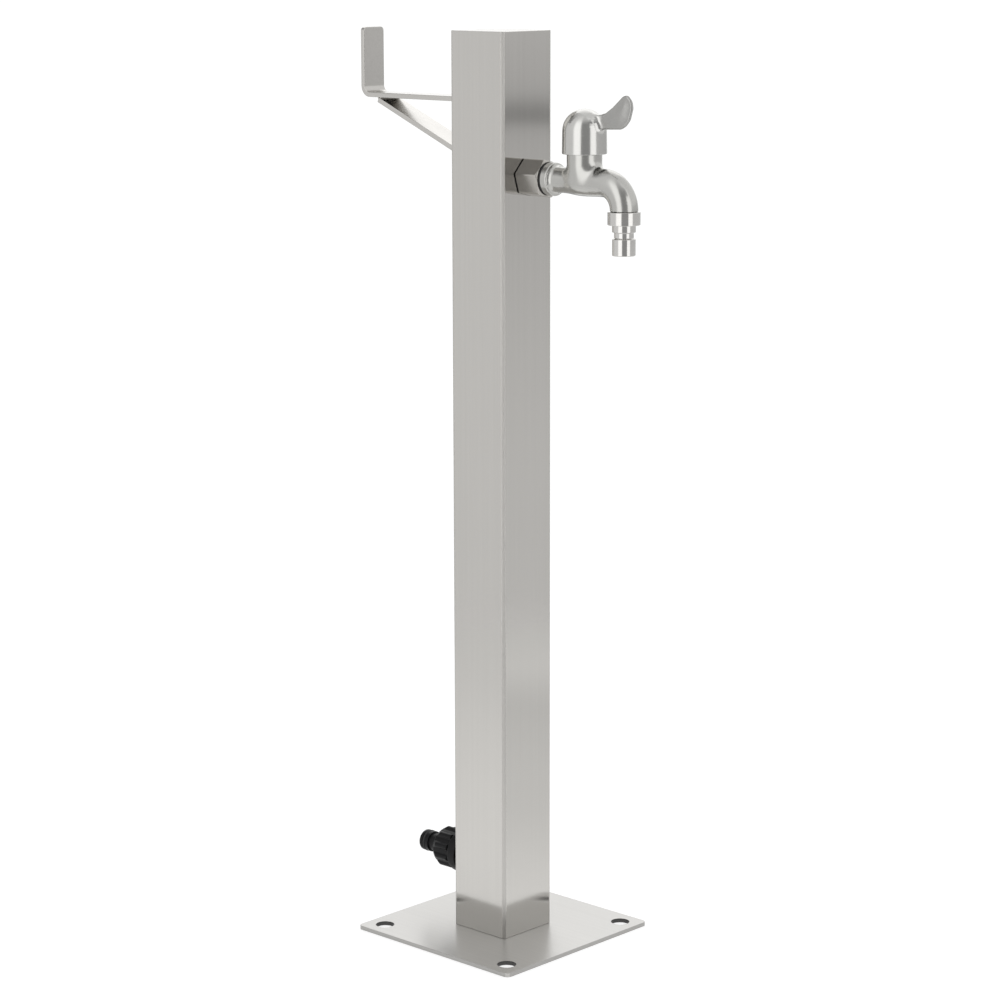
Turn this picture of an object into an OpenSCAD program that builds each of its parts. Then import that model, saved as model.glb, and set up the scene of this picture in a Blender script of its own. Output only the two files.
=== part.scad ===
// Garden standpipe: a square steel post on a bolted base plate, with a quarter turn hose tap
// in front, a hose hook behind and a supply hose running up inside from a low inlet.
// The origin is on the ground, on the axis of the post. +Z is up and the tap points along -Y.

/* [Base plate] */
// Side of the square base plate
plate_w = 150; // [140:1:200]
// Thickness of the base plate
plate_t = 3; // [2:0.5:8]
// Corner radius of the base plate
plate_corner_r = 4; // [1:0.5:12]
// Distance between the anchor holes, along X and along Y
bolt_spacing = 122; // [100:1:124]
// Diameter of the anchor holes
bolt_hole_d = 13; // [8:0.5:13]
// Diameter of the access hole under the post
access_hole_d = 40; // [30:1:44]

/* [Post] */
// Height of the whole standpipe
overall_h = 650; // [640:5:1000]
// Outer side of the square post
post_w = 50; // [50:1:64]
// Wall of the post
post_wall = 1.5; // [1:0.25:2]
// Outer corner radius of the post
post_corner_r = 2.5; // [2.25:0.25:5]
// Thickness of the cap that closes the post
cap_t = 2; // [1:0.5:5]
// Gap all round the cap, inside the post
cap_gap = 0.05; // [0.02:0.01:0.2]

/* [Hose hook] */
// Width of the flat bars of the hook
hook_w = 20; // [12:1:40]
// Thickness of the hook bar
hook_t = 3.5; // [2:0.5:6]
// Distance from the post to the outer face of the upright
hook_reach = 104; // [95:1:160]
// Distance from the underside of the arm to the top of the upright
hook_h = 49.7; // [30:0.1:80]
// Inner bend radius of the hook bar
hook_bend_r = 4.5; // [2:0.5:10]
// Radius of the two top corners of the upright
hook_tip_r = 3; // [1:0.5:5.5]
// Thickness of the brace
brace_t = 3.5; // [2:0.5:6]
// Distance from the post to the upper end of the brace
brace_reach = 86.3; // [50:0.1:90]
// Distance that the brace comes down from the arm to the post
brace_drop = 36.3; // [20:0.1:60]

/* [Heights] */
// Distance from the top of the post down to the tap's axis
tap_drop = 100; // [90:1:350]
// Height of the water inlet's axis above the ground
inlet_z = 50; // [40:1:120]

/* [Pipe threads] */
// Outer diameter of the male pipe threads
pipe_d = 20.9; // [20:0.1:21.2]
// Radial clearance between a male and a female thread
thread_fit = 0.05; // [0.02:0.01:0.1]
// Diameter of the waterway in the elbows
pipe_bore_d = 14; // [10:0.5:16]
// Radial clearance of a pipe in the wall of the post
wall_hole_gap = 0.3; // [0.1:0.1:1]

/* [Wall socket] */
// Size across the flats of the hexagon socket
socket_af = 24; // [23.6:0.1:27]
// Length of the hexagon socket
socket_len = 19.2; // [16:0.1:30]
// Turn of the hexagon on its axis
socket_turn = -13; // [-30:1:30]
// Depth of the chamfer on the corners of the hexagon
socket_chamfer = 1.3; // [0.4:0.1:2]
// Thickness of the gasket between the socket and the post
wall_gasket_t = 0.8; // [0.5:0.1:2]
// Outer diameter of the gasket between the socket and the post
wall_gasket_d = 23.2; // [22.6:0.1:26]
// Length of the elbow's thread that stands out of the post into the socket
elbow_engage = 8; // [5:0.5:10]
// Length of the tap's thread inside the socket
tap_engage = 10.5; // [5:0.5:10.5]

/* [Tap body] */
// Thickness of the gasket between the socket and the tap
tap_gasket_t = 1.5; // [0.5:0.1:3]
// Outer diameter of that gasket
tap_gasket_d = 22.6; // [22:0.1:24]
// Diameter of the collar that presses on the gasket
collar_d = 23; // [22:0.1:26]
// Length of the collar
collar_len = 5.5; // [3:0.1:8]
// Length of the cove behind the collar
cove_len = 4; // [2:0.1:6]
// Diameter of the thin part behind the collar
shank_d = 17.8; // [14:0.1:19]
// Length of the thin part
shank_len = 5; // [2:0.5:8]
// Diameter of the belly under the bonnet
belly_d = 20; // [18.8:0.1:22]
// Distance from the tap gasket to the bonnet's axis
bonnet_reach = 31.1; // [30:0.1:40]
// Bore of the tap's inlet
tap_bore_d = 9; // [7:0.5:9.5]
// Diameter of the neck under the handle
neck_d = 24.2; // [23:0.1:25]
// Height of the neck's top above the tap's axis
neck_h = 21; // [20:0.5:26]
// Diameter of the spout
spout_d = 19.2; // [18.4:0.1:20]
// Bore of the spout
spout_bore_d = 12; // [9:0.5:13]
// Radius of the spout's bend along its middle
spout_bend_r = 18; // [16:0.5:24]
// Distance from the bonnet's axis to the axis of the outlet
outlet_reach = 35.7; // [33:0.1:45]
// Diameter of the outlet's thread
outlet_thread_d = 18; // [17.2:0.1:18.2]

/* [Cartridge] */
// Height of the valve seat above the tap's axis
seat_h = 6; // [5.5:0.1:7]
// Diameter of the water passage in the seat
seat_hole_d = 6.6; // [5:0.1:7]
// Diameter of the chamber round the cartridge's cage
chamber_d = 16; // [15:0.5:16.5]
// Height of the chamber
chamber_h = 8; // [8:0.1:9]
// Diameter of the cartridge's male thread
cartridge_thread_d = 17.7; // [17:0.1:18.5]
// Height of the rubber seat seal
seat_seal_t = 1.5; // [1:0.1:1.8]
// Diameter of the ceramic discs
disc_d = 10.4; // [9.6:0.1:10.8]
// Thickness of each ceramic disc
disc_t = 2; // [1.6:0.1:2.2]
// Diameter of the ports in the ceramic discs
port_d = 3; // [2:0.1:3.2]
// Distance of each port from the axis of the discs
port_offset = 2.9; // [2.6:0.1:3.2]
// Wall of the cage round the discs
cage_wall = 1.3; // [1:0.1:1.5]
// Running clearance of the turning parts
run_gap = 0.05; // [0.02:0.01:0.1]
// Size across the flats of the cartridge's hexagon
bonnet_af = 19; // [18.5:0.1:21]
// Height of the cartridge's hexagon
bonnet_hex_h = 4.5; // [3:0.5:6]
// Diameter of the spindle
spindle_d = 7; // [6.6:0.1:7.4]
// Size across the flats of the square drive on the spindle
drive_af = 4.7; // [4.2:0.1:4.8]
// Section diameter of the rubber rings on the spindle
spindle_ring_d = 0.88; // [0.8:0.02:1]
// Thickness of the spring clip on the spindle
clip_t = 0.8; // [0.5:0.1:1.2]
// Outer diameter of the spring clip
clip_d = 10.4; // [9:0.1:12]

/* [Handle] */
// Diameter of the handle's rim
rim_d = 30.8; // [30.6:0.1:34]
// Gap between the tap's axis and the handle's rim
rim_h = 18.7; // [17:0.1:22]
// Diameter of the hemisphere that closes the handle
dome_d = 30.4; // [28:0.1:30.6]
// Height of the skirt from the rim to the hemisphere
skirt_h = 15.4; // [14.4:0.1:22]
// Wall of the handle
handle_wall = 1.7; // [1.2:0.1:2.2]
// Thickness of the lever's leaf
lever_t = 4.4; // [3:0.1:5.2]
// Reach of the lever's leaf from the axis of the handle
lever_reach = 43; // [36:0.5:55]
// Height of the leaf's lower edge above the skirt
lever_lift = 1.9; // [1.4:0.1:3]
// Rise of the leaf's tip above its lower edge
lever_rise = 23.6; // [21:0.2:30]
// Diameter of the boss inside the handle
boss_d = 13; // [11:0.5:15]
// Diameter of the grub screw that holds the handle
grub_d = 4; // [3:0.5:4.5]
// Length of the grub screw
grub_len = 7; // [4:0.5:9]

/* [Hose union] */
// Diameter of the round union nut
nut_d = 22.4; // [21:0.1:26]
// Length of the union nut
nut_len = 8.9; // [8:0.1:14]
// Gap between the spout and the union nut
nut_gap = 0.3; // [0.1:0.1:1]
// Thickness of the nut's inner lip
nut_lip_t = 1.5; // [1:0.1:2]
// Thickness of the flange on the hose nipple
nipple_flange_t = 2; // [1.2:0.1:2.5]
// Thickness of the washer above the hose nipple
nipple_washer_t = 1.5; // [1:0.1:2]
// Diameter of the nipple's upper land
nipple_land_d = 16.2; // [15.2:0.1:16.6]
// Length of the nipple's upper land below the nut
nipple_land_len = 5; // [3:0.5:8]
// Diameter of the nipple's groove
nipple_groove_d = 13.5; // [11:0.1:14]
// Length of the nipple's groove
nipple_groove_len = 3.6; // [3:0.1:8]
// Length of the cone below the groove
nipple_cone_len = 1; // [0.8:0.1:5]
// Diameter of the nipple's end
nipple_end_d = 16; // [14.2:0.1:16.4]
// Length of the nipple's end
nipple_end_len = 11.2; // [5:0.1:14]
// Bore of the nipple
nipple_bore_d = 9.6; // [7:0.2:10.4]

/* [Supply hose] */
// Thickness of the washer between an elbow and the inside of the post
elbow_washer_t = 2; // [1:0.5:3]
// Diameter of the elbow's shoulder and of its washer
elbow_shoulder_d = 27; // [25:0.5:32]
// Distance from the elbow's centre to the end of the leg that takes the hose
elbow_leg = 23.5; // [22:0.5:30]
// Size across the flats of the hose's union nuts
hose_nut_af = 24; // [23.6:0.1:27]
// Height of the hose's union nuts
hose_nut_h = 14; // [13:0.5:16]
// Thickness of the lip in the hose's union nuts
hose_nut_lip_t = 3.4; // [2:0.1:5]
// Thickness of the hose washers
hose_washer_t = 2; // [1:0.1:3]
// Thickness of the flange on the hose tails
tail_flange_t = 3; // [2:0.1:4]
// Diameter of the hose tail's neck
tail_neck_d = 12.6; // [10:0.1:13]
// Length of the neck between the flange and the ferrule
tail_neck_len = 5.2; // [4.5:0.1:8]
// Bore of the hose tails
tail_bore_d = 5.8; // [4:0.2:6.4]
// Length of the ferrules
ferrule_len = 22; // [14:1:30]
// Wall of the ferrules
ferrule_wall = 1.2; // [0.8:0.1:2]
// Inner diameter of the hose's rubber liner
liner_bore_d = 8; // [7.4:0.1:8.6]
// Outer diameter of the rubber liner
liner_d = 12; // [10.5:0.1:13]
// Wall of the wire braid
braid_t = 0.7; // [0.4:0.1:1]

/* [Inlet] */
// Thickness of the gasket outside the post at the inlet
inlet_gasket_t = 1.5; // [1:0.1:3]
// Diameter of the gasket outside the post at the inlet
inlet_gasket_d = 28; // [26:0.5:32]
// Size across the flats of the inlet's lock nut
lock_nut_af = 27; // [24:0.5:30]
// Thickness of the inlet's lock nut
lock_nut_t = 5.5; // [4:0.5:6]
// Distance from the post to the back of the hose adaptor
adaptor_gap = 9.5; // [9:0.1:12]
// Length of thread inside the hose adaptor
adaptor_engage = 10; // [8:0.5:12]
// Thickness of the washer inside the hose adaptor
adaptor_washer_t = 1.5; // [1:0.1:2]
// Diameter of the adaptor's rear flange
adaptor_flange_d = 31.6; // [30:0.1:34]
// Length of the adaptor's rear flange
adaptor_flange_len = 7.5; // [5:0.5:9]
// Diameter of the groove behind the grip
adaptor_groove_d = 27; // [26:0.1:28]
// Length of the groove behind the grip
adaptor_groove_len = 1.3; // [0.8:0.1:2]
// Diameter of the grip between the ribs
grip_core_d = 26.6; // [25.6:0.1:28]
// Diameter over the ribs of the grip
grip_rib_d = 30.4; // [29.4:0.1:32]
// Width of each rib of the grip
grip_rib_w = 4.8; // [3.6:0.1:5.4]
// Number of ribs round the grip
grip_ribs = 10; // [6:1:12]
// Length of the grip
grip_len = 15.7; // [12:0.1:20]
// Diameter of the adaptor's shoulder
shoulder_d = 20; // [18:0.1:21]
// Length of the shoulder's cone
shoulder_len = 7; // [4:0.1:9]
// Diameter of the adaptor's lock groove
lock_groove_d = 13; // [11.6:0.1:14]
// Length of the lock groove
lock_groove_len = 3.8; // [2:0.1:5]
// Diameter of the adaptor's nose
nose_d = 15.4; // [14.6:0.1:16]
// Length of the nose beyond the lock groove
nose_len = 8.7; // [7:0.1:12]
// Bore of the adaptor
adaptor_bore_d = 9.2; // [7:0.2:9.4]
// Section diameter of the rubber ring on the nose
nose_ring_d = 2; // [1.6:0.1:2.2]

/* [Hidden] */
$fn = 64;

// Small overlap that joins or cuts cleanly
eps = 0.01;
// Points on each rounded stretch of an outline
arc_steps = 10;
// Small chamfer on turned edges
break_edge = 0.4;
// Depth of the chamfer on the corners of the smaller hexagons
nut_chamfer = 1;

steel = "silver";
cast_steel = "lightgray";
brass = "goldenrod";
rubber = [0.12, 0.12, 0.12];
plastic = [0.07, 0.07, 0.08];
ceramic = "ivory";

post_inner_w = post_w - 2 * post_wall;
post_inner_r = max(post_corner_r - post_wall, 0.2);
pipe_r = pipe_d / 2;
female_r = pipe_r + thread_fit;

tap_z = overall_h - tap_drop;

// Distances out from the front face of the post
socket_out = wall_gasket_t + socket_len;
collar_out = socket_out + tap_gasket_t;
bonnet_out = collar_out + bonnet_reach;
bonnet_y = -post_w / 2 - bonnet_out;
outlet_y = bonnet_y - outlet_reach;
bend_y = outlet_y + spout_bend_r;
outlet_z = tap_z - spout_bend_r;

// Heights above the tap's axis, on the bonnet's axis
fixed_disc_h = seat_h + seat_seal_t;
moving_disc_h = fixed_disc_h + disc_t + run_gap;
foot_h = moving_disc_h + disc_t;
chamber_top_h = seat_h + chamber_h;
bonnet_top_h = neck_h + bonnet_hex_h;
clip_h = bonnet_top_h + run_gap;
dome_start_h = rim_h + skirt_h;

// Cartridge and spindle
cage_bore_r = disc_d / 2 + 2 * run_gap;
cage_r = cage_bore_r + cage_wall;
cage_gap = 0.4;
cage_top_h = chamber_top_h - cage_gap;
cartridge_r = cartridge_thread_d / 2;
neck_bore_r = cartridge_r + thread_fit;
cartridge_ring_r = 0.62;
cartridge_ring_h = chamber_top_h + 1.3;
foot_t = cage_top_h - foot_h - run_gap;
tongue_w = 2;
tongue_t = 1;
spindle_r = spindle_d / 2;
spindle_bore_r = spindle_r + run_gap;
ring_mid_r = spindle_r - spindle_ring_d / 2 + run_gap / 2;
first_ring_h = chamber_top_h + 2;
ring_spacing = 2.5;
ring_heights = [first_ring_h, first_ring_h + ring_spacing];
clip_groove_depth = 0.6;
clip_groove_r = spindle_r - clip_groove_depth;
drive_shoulder = 1.2;
drive_h = clip_h + clip_t + drive_shoulder;
drive_fit = 0.05;

// Inside of the handle
boss_gap = 1;
boss_bottom_h = drive_h + boss_gap;
drive_rise = 6;
drive_top_h = dome_start_h + drive_rise;
grub_lift = 3;
grub_h = boss_bottom_h + grub_lift;
grub_start = drive_af / 2 + drive_fit;

// Outlet stack, as distances below the spout's end
nut_bottom = nut_gap + nut_len;
lip_top = nut_bottom - nut_lip_t;
flange_bottom = lip_top - run_gap;
flange_top = flange_bottom - nipple_flange_t;
outlet_thread_len = flange_top - nipple_washer_t;
outlet_female_r = outlet_thread_d / 2 + run_gap;
nipple_end = nut_bottom + nipple_land_len + nipple_groove_len + nipple_cone_len + nipple_end_len;

// Elbows and hose
elbow_face = post_w / 2 - post_wall - elbow_washer_t;
shoulder_t = 3.5;
top_elbow_reach = post_w / 2 + elbow_engage;
hose_top_z = tap_z - elbow_leg;
hose_bottom_z = inlet_z + elbow_leg;
hose_nut_bottom = hose_washer_t + tail_flange_t + run_gap + hose_nut_lip_t;
ferrule_top = hose_washer_t + tail_flange_t + tail_neck_len;
ferrule_cap_t = 1.2;
hose_end_gap = 0.1;
hose_start = ferrule_top + ferrule_cap_t + hose_end_gap;
braid_r = liner_d / 2 + run_gap + braid_t;
ferrule_bore_r = braid_r + run_gap;

// Inlet stack, as distances out from the back face of the post
adaptor_seat = adaptor_gap + adaptor_engage + adaptor_washer_t;
inlet_elbow_reach = post_w / 2 + adaptor_gap + adaptor_engage;
grip_start = adaptor_gap + adaptor_flange_len + adaptor_groove_len;
grip_end = grip_start + grip_len;
shoulder_end = grip_end + shoulder_len;
nose_start = shoulder_end + lock_groove_len;
nose_end = nose_start + nose_len;
ring_seat = nose_start + nose_len / 2;
nose_ring_stand = 0.25;
nose_ring_mid_r = nose_d / 2 - nose_ring_d / 2 + nose_ring_stand;

// Points of an arc about c, as radii and heights, from angle a0 to a1
function arc(c, rx, rz, a0, a1, n = arc_steps) = [
    for (i = [0:n])
        let (a = a0 + (a1 - a0) * i / n)
        [c[0] + rx * cos(a), c[1] + rz * sin(a)]
];

// Point on a smooth curve through p1 and p2, with neighbours p0 and p3
function spline_at(p0, p1, p2, p3, t) =
    0.5 * (2 * p1 + (p2 - p0) * t + (2 * p0 - 5 * p1 + 4 * p2 - p3) * t * t
        + (3 * p1 - p0 - 3 * p2 + p3) * t * t * t);

// Smooth curve through the points of an open path, with n steps between neighbours
function smooth_path(pts, n) =
    let (last = len(pts) - 1)
    [
        for (i = [0:last - 1], k = [0:n - 1])
            spline_at(pts[max(i - 1, 0)], pts[i], pts[i + 1], pts[min(i + 2, last)], k / n),
        pts[last]
    ];

// Unit normal on the left of a path at point i
function inward(pts, i) =
    let (d = pts[min(i + 1, len(pts) - 1)] - pts[max(i - 1, 0)])
    [-d[1], d[0]] / norm(d);

// Frame with +Z out of the front face of the post and +Y up, at height h
module on_front(h) {
    translate([0, -post_w / 2, h])
        rotate([90, 0, 0])
            children();
}

// Frame with +Z out of the back face of the post and +Y up, at height h
module on_back(h) {
    translate([0, post_w / 2, h])
        rotate([90, 0, 180])
            children();
}

// Frame on the bonnet's axis, at the height of the tap's axis
module on_bonnet() {
    translate([0, bonnet_y, tap_z])
        children();
}

// Frame at the spout's end, with +Z down
module on_outlet() {
    translate([0, outlet_y, outlet_z])
        rotate([180, 0, 0])
            children();
}

// Square outline with true round corners
module rounded_square(w, r) {
    square([w - 2 * r, w], center = true);
    square([w, w - 2 * r], center = true);
    for (x = [-1, 1], y = [-1, 1])
        translate([x * (w / 2 - r), y * (w / 2 - r)])
            circle(r);
}

// Flat ring
module ring(outer_r, inner_r, t) {
    difference() {
        cylinder(r = outer_r, h = t);
        translate([0, 0, -eps])
            cylinder(r = inner_r, h = t + 2 * eps);
    }
}

// Rubber ring with a round section
module round_ring(mid_r, section_r) {
    rotate_extrude()
        translate([mid_r, 0])
            circle(section_r, $fn = 24);
}

// Hexagon with its corners turned down to a cone of that depth, at the ends that are asked for
module hexagon(af, h, depth, top = true, bottom = true) {
    corner_r = af / sqrt(3);
    flat_r = af / 2;
    clear_r = corner_r + 1;
    drop = depth * (clear_r - flat_r) / (corner_r - flat_r);
    intersection() {
        cylinder(r = corner_r, h = h, $fn = 6);
        rotate_extrude()
            polygon([
                [0, 0],
                [bottom ? flat_r : clear_r, 0],
                [clear_r, bottom ? drop : 0],
                [clear_r, top ? h - drop : h],
                [top ? flat_r : clear_r, h],
                [0, h]
            ]);
    }
}

module base_plate() {
    color(steel)
        linear_extrude(plate_t)
            difference() {
                rounded_square(plate_w, plate_corner_r);
                for (x = [-1, 1], y = [-1, 1])
                    translate([x * bolt_spacing / 2, y * bolt_spacing / 2])
                        circle(d = bolt_hole_d);
                circle(d = access_hole_d);
            }
}

module post_tube() {
    color(steel)
        difference() {
            translate([0, 0, plate_t])
                linear_extrude(overall_h - plate_t)
                    difference() {
                        rounded_square(post_w, post_corner_r);
                        rounded_square(post_inner_w, post_inner_r);
                    }
            on_front(tap_z)
                wall_hole();
            on_back(inlet_z)
                wall_hole();
        }
}

// Hole for a pipe through one wall of the post
module wall_hole() {
    translate([0, 0, -post_wall - 1])
        cylinder(r = pipe_r + wall_hole_gap, h = post_wall + 2);
}

module top_cap() {
    color(steel)
        translate([0, 0, overall_h - cap_t])
            linear_extrude(cap_t)
                rounded_square(post_inner_w - 2 * cap_gap, post_inner_r);
}

module hook_bar() {
    outer_r = hook_bend_r + hook_t;
    arm_len = hook_reach - outer_r;
    color(steel)
        translate([0, post_w / 2, overall_h - hook_h]) {
            translate([-hook_w / 2, 0, 0])
                cube([hook_w, arm_len, hook_t]);
            translate([-hook_w / 2, arm_len, outer_r])
                rotate([0, 90, 0])
                    rotate_extrude(angle = 90)
                        translate([hook_bend_r, 0])
                            square([hook_t, hook_w]);
            translate([0, hook_reach, outer_r])
                rotate([90, 0, 0])
                    linear_extrude(hook_t)
                        upright_outline(hook_h - outer_r);
        }
}

// Upright of the hook seen from behind, with its two top corners rounded
module upright_outline(h) {
    translate([-hook_w / 2, 0])
        square([hook_w, h - hook_tip_r]);
    translate([-hook_w / 2 + hook_tip_r, 0])
        square([hook_w - 2 * hook_tip_r, h]);
    for (x = [-1, 1])
        translate([x * (hook_w / 2 - hook_tip_r), h - hook_tip_r])
            circle(hook_tip_r);
}

// Flat strut with a square-cut upper end under the arm and a lower end cut to the post
module hook_brace() {
    slope = atan(brace_drop / brace_reach);
    color(steel)
        translate([hook_w / 2, post_w / 2, overall_h - hook_h])
            rotate([90, 0, -90])
                linear_extrude(hook_w)
                    polygon([
                        [-brace_reach, 0],
                        [0, -brace_drop],
                        [0, -brace_drop - brace_t / cos(slope)],
                        [-brace_reach - brace_t * sin(slope), -brace_t * cos(slope)]
                    ]);
}

module wall_gasket() {
    color(rubber)
        on_front(tap_z)
            ring(wall_gasket_d / 2, female_r, wall_gasket_t);
}

module wall_socket() {
    color(steel)
        on_front(tap_z)
            translate([0, 0, wall_gasket_t])
                rotate([0, 0, socket_turn])
                    difference() {
                        hexagon(socket_af, socket_len, socket_chamfer);
                        translate([0, 0, -eps])
                            cylinder(r = female_r, h = socket_len + 2 * eps);
                    }
}

module tap_gasket() {
    color(rubber)
        on_front(tap_z)
            translate([0, 0, socket_out])
                ring(tap_gasket_d / 2, female_r, tap_gasket_t);
}

// Outside of the tap's barrel, as radii and distances out from the post
function barrel_outline() =
    let (
        collar_end = collar_out + collar_len,
        cove_end = collar_end + cove_len,
        shank_end = cove_end + shank_len,
        swell = bonnet_out - shank_end,
        lead = outlet_reach - spout_bend_r,
        shank_r = shank_d / 2,
        belly_r = belly_d / 2,
        end_r = spout_d / 2 - 0.1
    )
    concat(
        [[0, socket_out - tap_engage], [pipe_r, socket_out - tap_engage]],
        [[pipe_r, collar_out], [collar_d / 2 - 0.5, collar_out], [collar_d / 2, collar_out + 0.5]],
        [[collar_d / 2, collar_end - 0.6]],
        arc([collar_d / 2, cove_end], collar_d / 2 - shank_r, cove_len, 260, 180, 8),
        [for (i = [0:8]) [shank_r + (belly_r - shank_r) * (1 - cos(180 * i / 8)) / 2,
            shank_end + swell * i / 8]],
        [for (i = [1:6]) [belly_r + (end_r - belly_r) * (1 - cos(180 * i / 6)) / 2,
            bonnet_out + lead * i / 6]],
        [[0, bonnet_out + lead]]
    );

// Outside of the neck that carries the cartridge, as radii and heights above the tap's axis
function neck_outline() = concat(
    [[0, -5], [belly_d / 2 - 3.5, -5]],
    arc([belly_d / 2 - 3.5, 14], neck_d / 2 - belly_d / 2 + 3.5, 19, 285, 360, 8),
    [[neck_d / 2, neck_h - 0.5], [neck_d / 2 - 0.5, neck_h], [0, neck_h]]
);

module tap_body() {
    lead = outlet_reach - spout_bend_r;
    color(cast_steel)
        difference() {
            union() {
                on_front(tap_z)
                    rotate_extrude()
                        polygon(barrel_outline());
                on_bonnet()
                    rotate_extrude()
                        polygon(neck_outline());
                spout(spout_d / 2, lead * 0.5);
                on_outlet()
                    translate([0, 0, -1])
                        cylinder(d = outlet_thread_d, h = outlet_thread_len + 1);
            }
            on_front(tap_z)
                translate([0, 0, socket_out - tap_engage - eps])
                    cylinder(d = tap_bore_d, h = tap_engage + tap_gasket_t + bonnet_reach + tap_bore_d / 2);
            on_bonnet() {
                cylinder(d = seat_hole_d, h = seat_h + eps);
                translate([0, 0, seat_h])
                    cylinder(d = chamber_d, h = chamber_h + eps);
                translate([0, 0, chamber_top_h])
                    cylinder(r = neck_bore_r, h = neck_h);
                crossover_hole();
            }
            spout(spout_bore_d / 2, lead - tap_bore_d / 2 - 5);
            on_outlet()
                translate([0, 0, -eps])
                    cylinder(d = spout_bore_d, h = outlet_thread_len + 1);
        }
}

// Slanted passage from the chamber down into the spout
module crossover_hole() {
    passage_r = 2.4;
    passage_len = 11;
    inset = 2.6;
    lift = 3;
    fall = 50;
    translate([0, inset - chamber_d / 2, seat_h + lift])
        rotate([90 + fall, 0, 0])
            cylinder(r = passage_r, h = passage_len);
}

// Quarter bend of the spout with a straight lead before it
module spout(r, lead_len) {
    translate([0, bend_y + lead_len, tap_z])
        rotate([90, 0, 0])
            cylinder(r = r, h = lead_len + eps);
    translate([0, bend_y, outlet_z])
        rotate([0, -90, 0])
            rotate_extrude(angle = -90)
                translate([spout_bend_r, 0])
                    circle(r);
}

module cartridge_body() {
    groove_w = 2 * cartridge_ring_r + 0.3;
    cage_lift = 0.3;
    thread_gap = 0.1;
    color(brass)
        on_bonnet()
            difference() {
                union() {
                    translate([0, 0, fixed_disc_h + cage_lift])
                        cylinder(r = cage_r, h = chamber_top_h - fixed_disc_h);
                    translate([0, 0, chamber_top_h + thread_gap])
                        cylinder(r = cartridge_r, h = neck_h - chamber_top_h);
                    translate([0, 0, neck_h])
                        hexagon(bonnet_af, bonnet_hex_h, nut_chamfer, bottom = false);
                }
                translate([0, 0, fixed_disc_h])
                    cylinder(r = cage_bore_r, h = cage_top_h - fixed_disc_h);
                cylinder(r = spindle_bore_r, h = bonnet_top_h + eps);
                translate([0, 0, cartridge_ring_h - groove_w / 2])
                    ring(cartridge_r + 1, cartridge_r - 2 * cartridge_ring_r, groove_w);
                cage_window();
            }
}

// Two side windows through the cage, above the discs
module cage_window() {
    window_w = 5.5;
    window_h = cage_top_h - foot_h;
    translate([-window_w / 2, -cage_r - 1, foot_h])
        cube([window_w, 2 * cage_r + 2, window_h]);
}

module cartridge_ring() {
    color(rubber)
        on_bonnet()
            translate([0, 0, cartridge_ring_h])
                round_ring(neck_bore_r - cartridge_ring_r - eps, cartridge_ring_r);
}

module seat_seal() {
    color(rubber)
        on_bonnet()
            translate([0, 0, seat_h])
                ring(disc_d / 2, seat_hole_d / 2, seat_seal_t);
}

// Two opposite ports of a ceramic disc
module ports() {
    for (side = [-1, 1])
        translate([side * port_offset, 0, -1])
            cylinder(d = port_d, h = disc_t + 2);
}

module fixed_disc() {
    color(ceramic)
        on_bonnet()
            translate([0, 0, fixed_disc_h])
                difference() {
                    cylinder(d = disc_d, h = disc_t);
                    ports();
                }
}

module moving_disc() {
    color(ceramic)
        on_bonnet()
            translate([0, 0, moving_disc_h])
                difference() {
                    cylinder(d = disc_d, h = disc_t);
                    rotate([0, 0, 90])
                        ports();
                    translate([-disc_d, -tongue_w / 2 - drive_fit, disc_t - tongue_t - drive_fit])
                        cube([2 * disc_d, tongue_w + 2 * drive_fit, disc_t]);
                }
}

module spindle() {
    tongue_len = disc_d - 1.2;
    groove_gap = 0.1;
    color(brass)
        on_bonnet()
            difference() {
                union() {
                    translate([0, 0, foot_h])
                        cylinder(r = cage_bore_r - 2 * run_gap, h = foot_t);
                    translate([-tongue_len / 2, -tongue_w / 2, foot_h - tongue_t])
                        cube([tongue_len, tongue_w, tongue_t + eps]);
                    translate([0, 0, foot_h])
                        cylinder(r = spindle_r, h = drive_h - foot_h);
                    translate([-drive_af / 2, -drive_af / 2, drive_h - eps])
                        cube([drive_af, drive_af, drive_top_h - drive_h]);
                }
                for (h = ring_heights)
                    translate([0, 0, h - spindle_ring_d / 2 - groove_gap])
                        ring(spindle_r + 1, spindle_r - spindle_ring_d, spindle_ring_d + 2 * groove_gap);
                translate([0, 0, clip_h])
                    ring(spindle_r + 1, clip_groove_r, clip_t + 2 * run_gap);
            }
}

module spindle_rings() {
    color(rubber)
        on_bonnet()
            for (h = ring_heights)
                translate([0, 0, h])
                    round_ring(ring_mid_r - run_gap / 2, spindle_ring_d / 2 - eps);
}

module spindle_clip() {
    mouth = 2 * clip_groove_r - 0.8;
    color(steel)
        on_bonnet()
            translate([0, 0, clip_h])
                difference() {
                    ring(clip_d / 2, clip_groove_r + 2 * eps, clip_t);
                    translate([0, -mouth / 2, -eps])
                        cube([clip_d, mouth, clip_t + 2 * eps]);
                }
}

// Tapered skirt closed by a hemisphere
module domed_skirt(rim_r, dome_r) {
    translate([0, 0, rim_h])
        cylinder(r1 = rim_r, r2 = dome_r, h = skirt_h);
    translate([0, 0, dome_start_h])
        intersection() {
            sphere(dome_r);
            cylinder(r = dome_r + 1, h = dome_r + 1);
        }
}

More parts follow.
